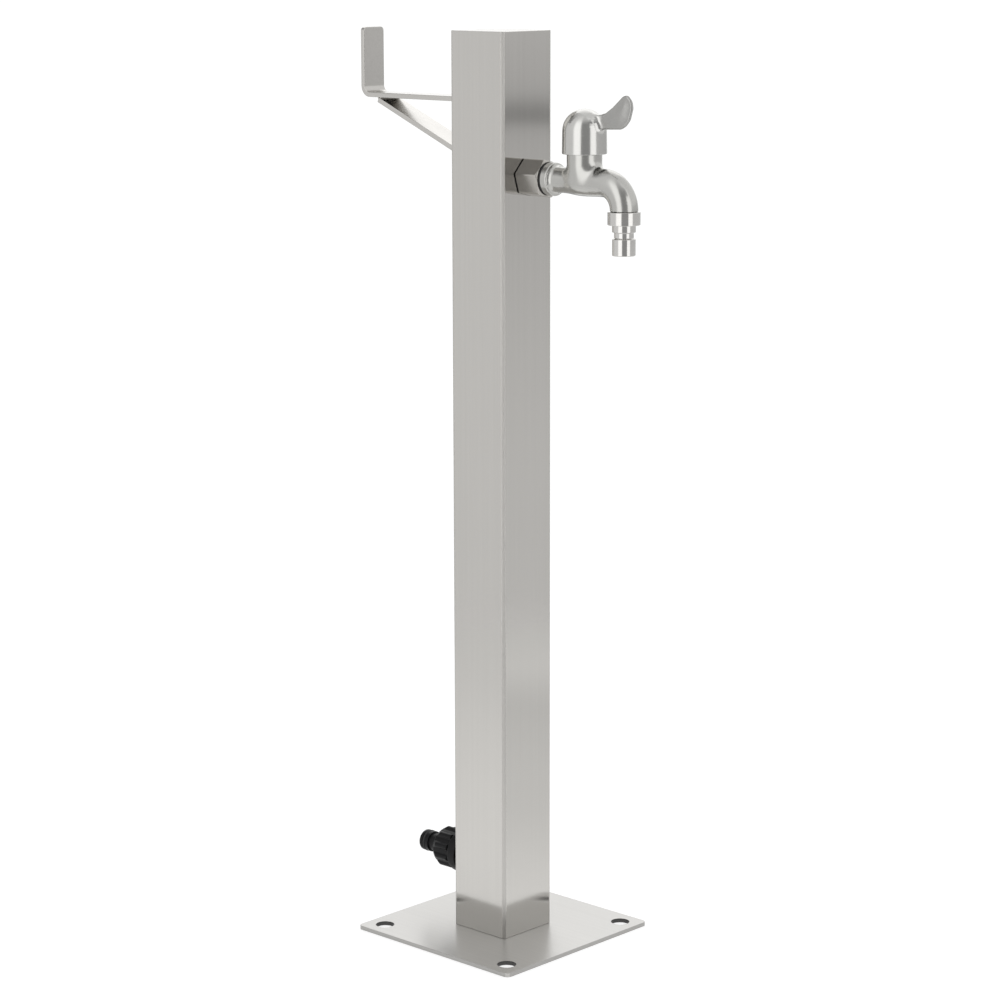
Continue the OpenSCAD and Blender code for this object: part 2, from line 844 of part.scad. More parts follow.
// Edge of the lever's leaf, from its lower root round the tip to its upper root, as distances
// forward of the handle's axis and above the skirt
function leaf_edge() =
    let (
        r = lever_reach,
        low = lever_lift,
        top = lever_lift + lever_rise,
        lower_root = dome_d / 2 - 0.7 * handle_wall,
        lower_angle = 8,
        upper_root = dome_d / 2 - 0.15 * handle_wall,
        upper_angle = 47
    )
    [
        lower_root * [cos(lower_angle), sin(lower_angle)],
        [r - 22, low - 0.1], [r - 10, low + 0.4], [r - 6, low + 2.6],
        [r - 2.4, low + lever_rise * 0.28], [r, low + lever_rise * 0.62],
        [r - 0.7, low + lever_rise * 0.82], [r - 4.8, top], [r - 8.5, top - 1],
        [r - 11.6, top - 3.6], [r - 17.5, top - 8.6], [r - 24, top - 12.8],
        [dome_d / 2 - 2, top - 14.2],
        upper_root * [cos(upper_angle), sin(upper_angle)]
    ];

// Leaf with a full round edge, lying across the X axis, with its root in the handle's wall
module leaf() {
    edge = smooth_path(leaf_edge(), 5);
    root_angle = 27;
    root = (dome_d - handle_wall) / 2 * [cos(root_angle), sin(root_angle)];
    ends = len(edge);
    m = ends + 1;
    bulge = lever_t / 2;
    angles = [for (a = [-90:22.5:90]) a];
    rings = len(angles);
    points = [
        for (a = angles, i = [0:ends])
            let (p = i == ends ? root : edge[i] + inward(edge, i) * bulge * (1 - cos(a)))
            [bulge * sin(a), -p[0], p[1]]
    ];
    sides = [
        for (k = [0:rings - 2], i = [0:ends])
            let (a = k * m + i, b = k * m + (i + 1) % m)
            [a, b, b + m, a + m]
    ];
    last = (rings - 1) * m;
    strips = [
        for (i = [0:ends / 2 - 2])
            each [
                [ends - 1 - i, ends - 2 - i, i + 1, i],
                [last + i, last + i + 1, last + ends - 2 - i, last + ends - 1 - i]
            ]
    ];
    tips = [[ends, ends - 1, 0], [last, last + ends - 1, last + ends]];
    polyhedron(points, concat(sides, strips, tips), convexity = 4);
}

module lever_handle() {
    socket_w = drive_af + 2 * drive_fit;
    socket_top_h = drive_top_h + 0.4;
    color(cast_steel)
        on_bonnet() {
            difference() {
                domed_skirt(rim_d / 2, dome_d / 2);
                difference() {
                    translate([0, 0, -eps])
                        domed_skirt(rim_d / 2 - handle_wall, dome_d / 2 - handle_wall);
                    translate([0, 0, boss_bottom_h])
                        cylinder(d = boss_d, h = skirt_h + dome_d / 2);
                }
                translate([-socket_w / 2, -socket_w / 2, boss_bottom_h - eps])
                    cube([socket_w, socket_w, socket_top_h - boss_bottom_h]);
                translate([0, 0, grub_h])
                    rotate([-90, 0, 0])
                        cylinder(d = grub_d + 2 * thread_fit, h = rim_d);
            }
            translate([0, 0, dome_start_h])
                leaf();
        }
}

module handle_grub_screw() {
    socket_af = grub_d / 2;
    color(steel)
        on_bonnet()
            translate([0, grub_start, grub_h])
                rotate([-90, 0, 0])
                    difference() {
                        cylinder(d = grub_d, h = grub_len);
                        translate([0, 0, grub_len - grub_d / 2])
                            cylinder(r = socket_af / sqrt(3), h = grub_d, $fn = 6);
                    }
}

module hose_nut() {
    r = nut_d / 2;
    color(steel)
        on_outlet()
            rotate_extrude()
                polygon([
                    [outlet_female_r, nut_gap],
                    [r - break_edge, nut_gap],
                    [r, nut_gap + break_edge],
                    [r, nut_bottom - break_edge],
                    [r - break_edge, nut_bottom],
                    [nipple_land_d / 2 + run_gap, nut_bottom],
                    [nipple_land_d / 2 + run_gap, lip_top],
                    [outlet_female_r, lip_top]
                ]);
}

module hose_nipple() {
    land_r = nipple_land_d / 2;
    groove_r = nipple_groove_d / 2;
    end_r = nipple_end_d / 2;
    bore_r = nipple_bore_d / 2;
    land_end = nut_bottom + nipple_land_len;
    groove_end = land_end + nipple_groove_len;
    cone_end = groove_end + nipple_cone_len;
    color(steel)
        on_outlet()
            rotate_extrude()
                polygon([
                    [bore_r, flange_top],
                    [outlet_thread_d / 2, flange_top],
                    [outlet_thread_d / 2, flange_bottom],
                    [land_r, flange_bottom],
                    [land_r, land_end - break_edge],
                    [land_r - break_edge, land_end],
                    [groove_r + break_edge, land_end],
                    [groove_r, land_end + break_edge],
                    [groove_r, groove_end],
                    [end_r, cone_end],
                    [end_r, nipple_end - break_edge],
                    [end_r - break_edge, nipple_end],
                    [bore_r + break_edge, nipple_end],
                    [bore_r, nipple_end - break_edge]
                ]);
}

module nipple_washer() {
    color(rubber)
        on_outlet()
            translate([0, 0, outlet_thread_len])
                ring(outlet_thread_d / 2 - 0.1, nipple_bore_d / 2, nipple_washer_t);
}

// Elbow with one leg along -Y through the post's wall and one leg down to the hose
module elbow(reach) {
    body_r = pipe_r + 0.8;
    knee_r = body_r + 1;
    leg_r = body_r - 0.3;
    leg_len = elbow_leg - 7;
    bore_r = pipe_bore_d / 2;
    knee_bore_r = bore_r + 0.6;
    leg_bore_r = bore_r - 0.2;
    difference() {
        union() {
            sphere(knee_r);
            rotate([90, 0, 0]) {
                cylinder(r = body_r, h = elbow_face);
                cylinder(r = pipe_r, h = reach);
                translate([0, 0, elbow_face - shoulder_t])
                    cylinder(d = elbow_shoulder_d, h = shoulder_t);
            }
            rotate([180, 0, 0]) {
                cylinder(r = leg_r, h = leg_len);
                cylinder(r = pipe_r, h = elbow_leg);
            }
        }
        sphere(knee_bore_r);
        rotate([90, 0, 0])
            cylinder(r = bore_r, h = reach + eps);
        rotate([180, 0, 0])
            cylinder(r = leg_bore_r, h = elbow_leg + eps);
    }
}

module top_elbow() {
    color(brass)
        translate([0, 0, tap_z])
            elbow(top_elbow_reach);
}

module inlet_elbow() {
    color(brass)
        translate([0, 0, inlet_z])
            rotate([180, 0, 0])
                elbow(inlet_elbow_reach);
}

// Washer between an elbow's shoulder and the inside of the post
module elbow_washer() {
    translate([0, 0, -post_wall - elbow_washer_t])
        ring(elbow_shoulder_d / 2, female_r, elbow_washer_t);
}

module top_elbow_washer() {
    color(rubber)
        on_front(tap_z)
            elbow_washer();
}

module inlet_elbow_washer() {
    color(rubber)
        on_back(inlet_z)
            elbow_washer();
}

// Frame at the upper end of the hose, with +Z down along it
module hose_upper_end() {
    translate([0, 0, hose_top_z])
        rotate([180, 0, 0])
            children();
}

// Frame at the lower end of the hose, with +Z up along it
module hose_lower_end() {
    translate([0, 0, hose_bottom_z])
        children();
}

module union_nut() {
    translate([0, 0, hose_nut_bottom - hose_nut_h])
        difference() {
            hexagon(hose_nut_af, hose_nut_h, nut_chamfer);
            translate([0, 0, -eps])
                cylinder(r = female_r, h = hose_nut_h - hose_nut_lip_t + eps);
            cylinder(r = tail_neck_d / 2 + 0.3, h = hose_nut_h + eps);
        }
}

module union_washer() {
    ring(pipe_r - 0.5, pipe_bore_d / 2, hose_washer_t);
}

module hose_tail() {
    barb_r = liner_bore_d / 2 - run_gap;
    barb_depth = 0.5;
    barb_step = 4;
    barb_len = 0.8 * barb_step;
    barbs = floor(ferrule_len / barb_step) - 1;
    difference() {
        union() {
            translate([0, 0, hose_washer_t])
                cylinder(r = pipe_r - 0.4, h = tail_flange_t);
            translate([0, 0, hose_washer_t])
                cylinder(d = tail_neck_d, h = tail_flange_t + tail_neck_len);
            translate([0, 0, ferrule_top])
                cylinder(r = barb_r - barb_depth + 0.1, h = ferrule_len);
            for (i = [0:barbs - 1])
                translate([0, 0, hose_start + 1 + i * barb_step])
                    cylinder(r1 = barb_r, r2 = barb_r - barb_depth, h = barb_len);
        }
        cylinder(d = tail_bore_d, h = ferrule_top + ferrule_len + 1);
    }
}

module ferrule() {
    outer_r = ferrule_bore_r + ferrule_wall;
    crimp_depth = 0.4;
    crimp_w = 1.2;
    translate([0, 0, ferrule_top])
        difference() {
            cylinder(r = outer_r, h = ferrule_len);
            translate([0, 0, ferrule_cap_t])
                cylinder(r = ferrule_bore_r, h = ferrule_len);
            translate([0, 0, -eps])
                cylinder(r = liner_bore_d / 2, h = ferrule_len);
            for (i = [1:3])
                translate([0, 0, ferrule_len * i / 4])
                    ring(outer_r + 1, outer_r - crimp_depth, crimp_w);
        }
}

module upper_union_nut() {
    color(steel)
        hose_upper_end()
            union_nut();
}

module lower_union_nut() {
    color(steel)
        hose_lower_end()
            union_nut();
}

module upper_union_washer() {
    color(rubber)
        hose_upper_end()
            union_washer();
}

module lower_union_washer() {
    color(rubber)
        hose_lower_end()
            union_washer();
}

module upper_hose_tail() {
    color(brass)
        hose_upper_end()
            hose_tail();
}

module lower_hose_tail() {
    color(brass)
        hose_lower_end()
            hose_tail();
}

module upper_ferrule() {
    color(steel)
        hose_upper_end()
            ferrule();
}

module lower_ferrule() {
    color(steel)
        hose_lower_end()
            ferrule();
}

// Tube that reaches from one end of the hose to the other
module hose_layer(outer_r, inner_r) {
    translate([0, 0, hose_bottom_z + hose_start])
        ring(outer_r, inner_r, hose_top_z - hose_bottom_z - 2 * hose_start);
}

module hose_liner() {
    color(rubber)
        hose_layer(liner_d / 2, liner_bore_d / 2);
}

module hose_braid() {
    color(steel)
        hose_layer(braid_r, liner_d / 2 + run_gap);
}

module inlet_gasket() {
    color(rubber)
        on_back(inlet_z)
            ring(inlet_gasket_d / 2, female_r, inlet_gasket_t);
}

module inlet_lock_nut() {
    color(brass)
        on_back(inlet_z)
            translate([0, 0, inlet_gasket_t])
                difference() {
                    hexagon(lock_nut_af, lock_nut_t, nut_chamfer);
                    translate([0, 0, -eps])
                        cylinder(r = female_r, h = lock_nut_t + 2 * eps);
                }
}

// Outside of the hose adaptor without its ribs, as radii and distances out from the post
function adaptor_outline() =
    let (
        flange_r = adaptor_flange_d / 2,
        groove_r = adaptor_groove_d / 2,
        core_r = grip_core_d / 2,
        nose_r = nose_d / 2,
        seat_r = nose_ring_mid_r - nose_ring_d / 2 - 2 * eps,
        seat_half = nose_ring_d / 2 + 3 * run_gap,
        flange_end = adaptor_gap + adaptor_flange_len
    )
    concat(
        [[0, adaptor_gap], [flange_r - 0.8, adaptor_gap], [flange_r, adaptor_gap + 0.8]],
        [[flange_r, flange_end - 1], [flange_r - 1, flange_end], [groove_r, flange_end]],
        [[groove_r, grip_start], [core_r, grip_start], [core_r, grip_end - 1.2]],
        [[core_r - 1.2, grip_end], [shoulder_d / 2, grip_end]],
        arc([shoulder_d / 2 + 1, shoulder_end], shoulder_d / 2 + 1 - nose_r, shoulder_len, 262, 180, 8),
        [[lock_groove_d / 2, shoulder_end], [lock_groove_d / 2, nose_start], [nose_r, nose_start]],
        [[nose_r, ring_seat - seat_half], [seat_r, ring_seat - seat_half]],
        [[seat_r, ring_seat + seat_half], [nose_r, ring_seat + seat_half]],
        [[nose_r, nose_end - 0.7], [nose_r - 0.7, nose_end], [0, nose_end]]
    );

// Round ribs of the grip with chamfered ends
module grip() {
    rib_r = grip_rib_w / 2;
    tip_r = grip_rib_d / 2;
    translate([0, 0, grip_start])
        intersection() {
            linear_extrude(grip_len - 0.6)
                for (i = [0:grip_ribs - 1])
                    rotate(90 + 360 * i / grip_ribs)
                        translate([tip_r - rib_r, 0])
                            circle(rib_r);
            rotate_extrude()
                polygon([
                    [grip_core_d / 2 - 2, 0],
                    [tip_r - 1, 0],
                    [tip_r + 0.5, 1.5],
                    [tip_r + 0.5, grip_len - 3.4],
                    [grip_core_d / 2 - 2, grip_len - 0.4]
                ]);
        }
}

module inlet_adaptor() {
    color(plastic)
        on_back(inlet_z)
            difference() {
                union() {
                    rotate_extrude()
                        polygon(adaptor_outline());
                    grip();
                }
                translate([0, 0, adaptor_gap - eps])
                    cylinder(r = female_r, h = adaptor_seat - adaptor_gap + eps);
                cylinder(d = adaptor_bore_d, h = nose_end + eps);
            }
}

module adaptor_washer() {
    color(rubber)
        on_back(inlet_z)
            translate([0, 0, adaptor_seat - adaptor_washer_t])
                ring(pipe_r - 0.2, adaptor_bore_d / 2, adaptor_washer_t);
}

module nose_ring() {
    color(rubber)
        on_back(inlet_z)
            translate([0, 0, ring_seat])
                round_ring(nose_ring_mid_r, nose_ring_d / 2);
}

base_plate();
post_tube();
top_cap();
hook_bar();
hook_brace();
wall_gasket();
wall_socket();
tap_gasket();
tap_body();
cartridge_body();
cartridge_ring();
seat_seal();
fixed_disc();
moving_disc();
spindle();
spindle_rings();
spindle_clip();
lever_handle();
handle_grub_screw();
hose_nut();
hose_nipple();
nipple_washer();
top_elbow();
top_elbow_washer();
inlet_elbow();
inlet_elbow_washer();
upper_union_nut();
upper_union_washer();
upper_hose_tail();
upper_ferrule();
lower_union_nut();
lower_union_washer();
lower_hose_tail();
lower_ferrule();
hose_liner();
hose_braid();
inlet_gasket();
inlet_lock_nut();
inlet_adaptor();
adaptor_washer();
nose_ring();
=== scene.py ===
"""Visual model of a garden standpipe: post, base plate, hose tap, hose hook and water inlet."""
import logging
import math
from collections.abc import Callable, Iterable, Sequence
from dataclasses import dataclass, field
from enum import Enum
from typing import Any

import bmesh
import bpy
import numpy as np
from mathutils import Matrix, Vector


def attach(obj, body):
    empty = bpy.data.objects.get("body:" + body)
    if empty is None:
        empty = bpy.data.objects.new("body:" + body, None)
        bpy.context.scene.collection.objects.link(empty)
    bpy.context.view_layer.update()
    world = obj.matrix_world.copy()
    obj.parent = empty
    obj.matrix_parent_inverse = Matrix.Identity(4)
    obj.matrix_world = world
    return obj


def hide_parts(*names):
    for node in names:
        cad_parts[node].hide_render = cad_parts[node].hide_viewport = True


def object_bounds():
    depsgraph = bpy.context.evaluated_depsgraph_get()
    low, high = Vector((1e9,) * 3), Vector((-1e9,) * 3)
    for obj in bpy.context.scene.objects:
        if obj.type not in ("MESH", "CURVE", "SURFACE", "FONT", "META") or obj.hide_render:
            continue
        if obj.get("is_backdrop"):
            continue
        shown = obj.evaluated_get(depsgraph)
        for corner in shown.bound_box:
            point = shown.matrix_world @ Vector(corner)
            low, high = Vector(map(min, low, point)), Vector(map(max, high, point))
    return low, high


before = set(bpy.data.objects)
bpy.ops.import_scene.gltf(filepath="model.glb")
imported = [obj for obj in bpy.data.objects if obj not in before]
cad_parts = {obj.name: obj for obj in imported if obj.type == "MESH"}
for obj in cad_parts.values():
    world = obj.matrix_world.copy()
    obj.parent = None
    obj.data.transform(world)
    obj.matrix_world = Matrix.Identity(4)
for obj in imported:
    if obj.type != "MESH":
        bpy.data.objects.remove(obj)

CAD_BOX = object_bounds()
MM = 0.001
SHARP_ANGLE = math.radians(50)
BLACK = (0.0, 0.0, 0.0)
WHITE = (1.0, 1.0, 1.0)

# Places that several pieces share, in millimetres
POST_HALF = 25.0
TAP_Z = 550.0
INLET_Z = 50.0
BONNET_Y = -77.6
OUTLET_Y = -113.3
PIPE_R = 10.5

LOG = logging.getLogger("standpipe")


class Body(Enum):
    """CAD bodies that the pieces ride on."""

    POST = "standpipe"
    HANDLE = "handle"
    OUTLET = "outlet"
    OUTLET_NUT = "outlet_nut"
    INLET_FITTING = "inlet_fitting"


class Slot(Enum):
    """Material slots of the record."""

    BRUSHED = "brushed_steel"
    CAST = "cast_steel"
    TURNED = "turned_steel"
    BRASS = "brass"
    RUBBER = "black_rubber"
    PLASTIC = "black_plastic"
    CERAMIC = "ceramic"
    BRAID = "steel_braid"


class Grain(Enum):
    """Direction of a brushed grain, as the stretch of its noise along X, Y and Z."""

    UP = (2600.0, 2600.0, 9.0)
    ALONG_Y = (2600.0, 9.0, 2600.0)
    ACROSS = (9.0, 2600.0, 2600.0)


class Turning(Enum):
    """Axis that a turned piece was cut about."""

    ALONG_Y = 1
    ALONG_Z = 2


# Shader maths


class Value:
    """Output of a shader node, which arithmetic on it turns into further Math nodes."""

    def __init__(self, graph: "Graph", socket: bpy.types.NodeSocket) -> None:
        """Keep the socket and the graph that it lies in."""
        self.graph = graph
        self.socket = socket

    def __add__(self, other: "Value | float") -> "Value":
        """Sum."""
        return self.graph.maths("ADD", self, other)

    __radd__ = __add__

    def __sub__(self, other: "Value | float") -> "Value":
        """Difference."""
        return self.graph.maths("SUBTRACT", self, other)

    def __rsub__(self, other: "Value | float") -> "Value":
        """Difference from a number."""
        return self.graph.maths("SUBTRACT", other, self)

    def __mul__(self, other: "Value | float") -> "Value":
        """Product."""
        return self.graph.maths("MULTIPLY", self, other)

    __rmul__ = __mul__

    def __pow__(self, other: "Value | float") -> "Value":
        """Power."""
        return self.graph.maths("POWER", self, other)

    def __abs__(self) -> "Value":
        """Value without its sign."""
        return self.graph.maths("ABSOLUTE", self)

    def beside(self, output: str) -> "Value":
        """Another output of the same node."""
        return Value(self.graph, self.socket.node.outputs[output])

    def above(self, edge: float, soft: float) -> "Value":
        """Mask that rises from 0 to 1 as this value passes the edge.

        Args:
            edge: Value at which the mask is a half.
            soft: Width of the rise.

        Returns:
            The mask.
        """
        return self.graph.node(
            "ShaderNodeMapRange",
            {"interpolation_type": "SMOOTHSTEP"},
            {"Value": self, "From Min": edge - soft / 2, "From Max": edge + soft / 2},
        )

    def between(
        self, low: float, high: float, soft_low: float, soft_high: float | None = None
    ) -> "Value":
        """Mask that is 1 from one edge to another.

        Args:
            low: Value at which the mask rises.
            high: Value at which it falls.
            soft_low: Width of the rise.
            soft_high: Width of the fall, or none where it is that of the rise.

        Returns:
            The mask.
        """
        return self.above(low, soft_low) * (1.0 - self.above(high, soft_high or soft_low))

    def toward(self, target: "Value | float", share: "Value | float") -> "Value":
        """This value, moved by a share of the way to another."""
        return self + share * (target - self)


class Graph:
    """Node tree of one material or of the world."""

    def __init__(self, owner: bpy.types.Material | bpy.types.World) -> None:
        """Start from an empty tree."""
        owner.use_nodes = True
        self.tree = owner.node_tree
        self.tree.nodes.clear()

    def node(
        self,
        kind: str,
        settings: dict[str, Any] | None = None,
        inputs: dict[str | int, Any] | None = None,
        output: str | int = 0,
    ) -> Value:
        """Add a node.

        Args:
            kind: Type name of the node.
            settings: Its settings, set before its sockets.
            inputs: Values or links of its sockets, by name or number.
            output: Name or number of the output that is wanted.

        Returns:
            That output.
        """
        made = self.tree.nodes.new(kind)
        for key, setting in (settings or {}).items():
            setattr(made, key, setting)
        for key, given in (inputs or {}).items():
            if isinstance(given, Value):
                self.tree.links.new(given.socket, made.inputs[key])
            else:
                made.inputs[key].default_value = given
        return Value(self, made.outputs[output]) if len(made.outputs) else Value(self, None)

    def maths(self, operation: str, *terms: "Value | float") -> Value:
        """Add a Math node over its terms."""
        return self.node("ShaderNodeMath", {"operation": operation}, dict(enumerate(terms)))

    def vector(self, operation: str, *terms: Any) -> Value:
        """Add a Vector Math node over its terms."""
        return self.node("ShaderNodeVectorMath", {"operation": operation}, dict(enumerate(terms)))

    def place(self) -> Value:
        """Position on the piece, in metres in the row frame at rest."""
        return self.node("ShaderNodeTexCoord", output="Object")

    def parts(self, vector: Value) -> tuple[Value, Value, Value]:
        """Split a vector into its three numbers."""
        x = self.node("ShaderNodeSeparateXYZ", inputs={0: vector})
        return x, x.beside("Y"), x.beside("Z")

    def ramp(self, factor: Value, stops: Sequence[tuple[float, float]]) -> Value:
        """Grey ramp over a value from 0 to 1, through stops of position and level."""
        made = self.node("ShaderNodeValToRGB", inputs={0: factor})
        elements = made.socket.node.color_ramp.elements
        while len(elements) < len(stops):
            elements.new(1.0)
        for element, (position, level) in zip(elements, stops):
            element.position = position
            element.color = (level, level, level, 1.0)
        return made

    def noise(self, vector: Value, scale: float, detail: float = 2.0, rough: float = 0.5) -> Value:
        """Noise between about 0 and 1."""
        return self.node(
            "ShaderNodeTexNoise",
            {"noise_dimensions": "3D"},
            {"Vector": vector, "Scale": scale, "Detail": detail, "Roughness": rough},
            "Fac",
        )

    def tint(self, factor: Value, low: Value | Sequence[float], high: Sequence[float]) -> Value:
        """Mix two colours by a factor."""
        start = low if isinstance(low, Value) else (*low, 1.0)
        inputs = {0: factor, 6: start, 7: (*high, 1.0)}
        return self.node("ShaderNodeMix", {"data_type": "RGBA"}, inputs, 2)


@dataclass
class Surface:
    """What a finish varies over a piece."""

    color: Value
    roughness: Value
    height: Value


@dataclass(frozen=True)
class Finish:
    """Metal, rubber, plastic or ceramic surface.

    The dark and light colours are linear, the spread is how far the roughness wanders, and the
    relief is the bump's depth in metres.
    """

    name: str
    slot: Slot
    dark: tuple[float, float, float]
    light: tuple[float, float, float]
    rough: float
    spread: float
    relief: float
    metallic: float = 0.0
    anisotropy: float = 0.0
    turn: float = 0.0
    coat: float = 0.0
    coat_rough: float = 0.12
    specular: float = 0.5

    def texture(self, graph: Graph) -> Surface:
        """Colour, roughness and height of the surface.

        Args:
            graph: Node tree to build in.

        Returns:
            What varies over the surface.
        """
        raise NotImplementedError

    def uneven(self, *noises: tuple[Value, float]) -> Value:
        """Roughness that wanders with some noises, each by its share of the spread."""
        rough: Value | float = self.rough
        for noise, share in noises:
            rough = (noise - 0.5) * (self.spread * share) + rough
        return rough

    def material(self) -> bpy.types.Material:
        """The finish's material, made once.

        Returns:
            The material.
        """
        found = bpy.data.materials.get(self.name)
        if found:
            return found
        made = bpy.data.materials.new(self.name)
        graph = Graph(made)
        surface = self.texture(graph)
        normal = graph.node(
            "ShaderNodeBump",
            {},
            {"Strength": 1.0, "Distance": self.relief, "Height": surface.height},
        )
        shader = graph.node(
            "ShaderNodeBsdfPrincipled",
            {},
            {
                "Base Color": surface.color,
                "Roughness": surface.roughness,
                "Normal": normal,
                "Metallic": self.metallic,
                "Anisotropic": self.anisotropy,
                "Anisotropic Rotation": self.turn,
                "Specular IOR Level": self.specular,
                "Coat Weight": self.coat,
                "Coat Roughness": self.coat_rough,
            },
        )
        graph.node("ShaderNodeOutputMaterial", inputs={"Surface": shader})
        made.diffuse_color = (*self.light, 1.0)
        return made


@dataclass(frozen=True)
class BrushedSteel(Finish):
    """Sheet or bar with a straight brushed grain.

    It is duller along the corners and at the foot of a tube, and darker on a plate's cut sides, with painted
    shade on the walls of a plate's holes.
    """

    metallic: float = 1.0
    grain: Grain = Grain.UP
    tube_half: float = 0.0
    corner_w: float = 0.0022
    foot_h: float = 0.024
    plate_half: float = 0.0
    hole_at: float = 0.061
    hole_r: float = 0.0065
    cut_depth: float = 0.0003

    def texture(self, graph: Graph) -> Surface:
        """Fine straight lines, broader streaks and faint clouds of handling."""
        place = graph.place()
        fine = graph.noise(graph.vector("MULTIPLY", place, self.grain.value), 1.0, 3.0, 0.7)
        broad_stretch = tuple(0.16 * stretch for stretch in self.grain.value)
        broad = graph.noise(graph.vector("MULTIPLY", place, broad_stretch), 1.0)
        clouds = graph.noise(place, 14.0, 3.0, 0.55)
        color = graph.tint(fine * 0.45 + broad * 0.3 + clouds * 0.25, self.dark, self.light)
        rough = self.uneven((fine, 1.0), (clouds, 1.2))
        x, y, z = graph.parts(place)
        x, y = abs(x), abs(y)
        if self.tube_half:
            edge = self.tube_half - self.corner_w
            corner = x.above(edge, 0.0008) * y.above(edge, 0.0008)
            rough = rough + corner * 0.35 + (1.0 - z.above(self.foot_h, 0.03)) * 0.1
        if self.plate_half:
            side = graph.maths("MAXIMUM", x, y).above(self.plate_half - self.cut_depth, 0.0002)
            along, across = x - self.hole_at, y - self.hole_at
            rim = (self.hole_r + self.cut_depth) ** 2
            # The walls of the bolt holes get painted shade, nearly black; the cut sides are only a little
            # darker.
            hole = 1.0 - (along * along + across * across).above(rim, 0.000004)
            color = graph.tint(side * 0.22 + hole * 0.85, color, BLACK)
        return Surface(color, rough, fine + broad * 0.6)


@dataclass(frozen=True)
class CastSteel(Finish):
    """Casting, blasted and lightly polished, rougher beyond a radius about an upright axis and darkened there
    with painted shade.
    """

    metallic: float = 1.0
    axis_y: float = 0.0
    dull_and_shade_r: float = 0.0

    def texture(self, graph: Graph) -> Surface:
        """Fine even grain with slow waves of the casting under it."""
        place = graph.place()
        grain = graph.noise(place, 2600.0, 2.0, 0.6)
        waves = graph.noise(place, 130.0, 3.0)
        slow = graph.noise(place, 38.0)
        color = graph.tint(grain * 0.35 + waves * 0.35 + slow * 0.3, self.dark, self.light)
        rough = self.uneven((waves, 1.0), (grain, 0.6))
        if self.dull_and_shade_r:
            x, y, _ = graph.parts(place)
            y = y - self.axis_y
            # Beyond the radius, on the handle's leaf, the roughness rises and the colour is darkened as
            # painted shade.
            dull_and_shade = ((x * x + y * y) ** 0.5).above(self.dull_and_shade_r, 0.0014)
            color = graph.tint(dull_and_shade * 0.3, color, BLACK)
            rough = rough + dull_and_shade * 0.16
        return Surface(color, rough, grain * 0.08 + waves)


@dataclass(frozen=True)
class TurnedMetal(Finish):
    """Piece cut on a lathe."""

    metallic: float = 1.0
    axis: Turning = Turning.ALONG_Z
    lines: float = 5200.0

    def texture(self, graph: Graph) -> Surface:
        """Fine rings round the axis, a little uneven, with stains in patches."""
        place = graph.place()
        stretch = [40.0, 40.0, 40.0]
        stretch[self.axis.value] = self.lines
        rings = graph.noise(graph.vector("MULTIPLY", place, tuple(stretch)), 1.0, 2.0, 0.6)
        stains = graph.noise(place, 90.0, 4.0, 0.6)
        color = graph.tint(rings * 0.5 + stains * 0.5, self.dark, self.light)
        return Surface(color, self.uneven((rings, 1.0), (stains, 1.4)), rings)


@dataclass(frozen=True)
class Moulded(Finish):
    """Moulded rubber or plastic, or a pressed ceramic."""

    grain_scale: float = 1800.0

    def texture(self, graph: Graph) -> Surface:
        """Fine pimpled grain, flow marks and a trace of dust."""
        place = graph.place()
        grain = graph.noise(place, self.grain_scale)
        flow = graph.noise(place, 60.0, 3.0, 0.6)
        dust = graph.noise(place, 700.0).above(0.66, 0.12)
        color = graph.tint(flow * 0.6 + grain * 0.25 + dust * 0.3, self.dark, self.light)
        return Surface(color, self.uneven((flow, 1.0), (grain, 1.0)) + dust * 0.05, grain)


@dataclass(frozen=True)
class WovenWire(Finish):
    """Fine steel wires in the strands of a braid round an upright hose, with the weave's light and shade
    painted in.
    """

    metallic: float = 1.0
    strands: int = 12
    pitch: float = 0.034
    wires_in_strand: int = 6

    def texture(self, graph: Graph) -> Surface:
        """Wires of whichever strand lies on top, worked out from the angle and the height."""
        x, y, z = graph.parts(graph.place())
        turn = graph.maths("ARCTAN2", y, x) * (self.strands / math.tau)
        climb = z * (self.strands / self.pitch)
        right, left = turn + climb, turn - climb
        over_right = graph.maths("COSINE", right * math.pi)
        over_left = graph.maths("COSINE", left * math.pi)
        weave = over_right * over_left * 0.3
        high_right = abs(over_right) * (weave + 0.7)
        high_left = abs(over_left) * (0.7 - weave)
        on_top = (high_right - high_left).above(0.0, 0.05)
        wire_right = graph.maths("SINE", right * (math.tau * self.wires_in_strand))
        wire_left = graph.maths("SINE", left * (math.tau * self.wires_in_strand))
        wires = wire_left.toward(wire_right, on_top)
        # Painted light and shade of the weave: dark where the strands dip under each other and along the
        # sides of each wire, light on the strands' crowns.
        shade = graph.maths("MAXIMUM", high_right, high_left) * 0.7 + wires * 0.15 + 0.1
        rough = shade * self.spread + self.rough
        return Surface(graph.tint(shade, self.dark, self.light), rough, wires)


STEEL_DARK = (0.485, 0.472, 0.450)
STEEL_LIGHT = (0.640, 0.625, 0.600)

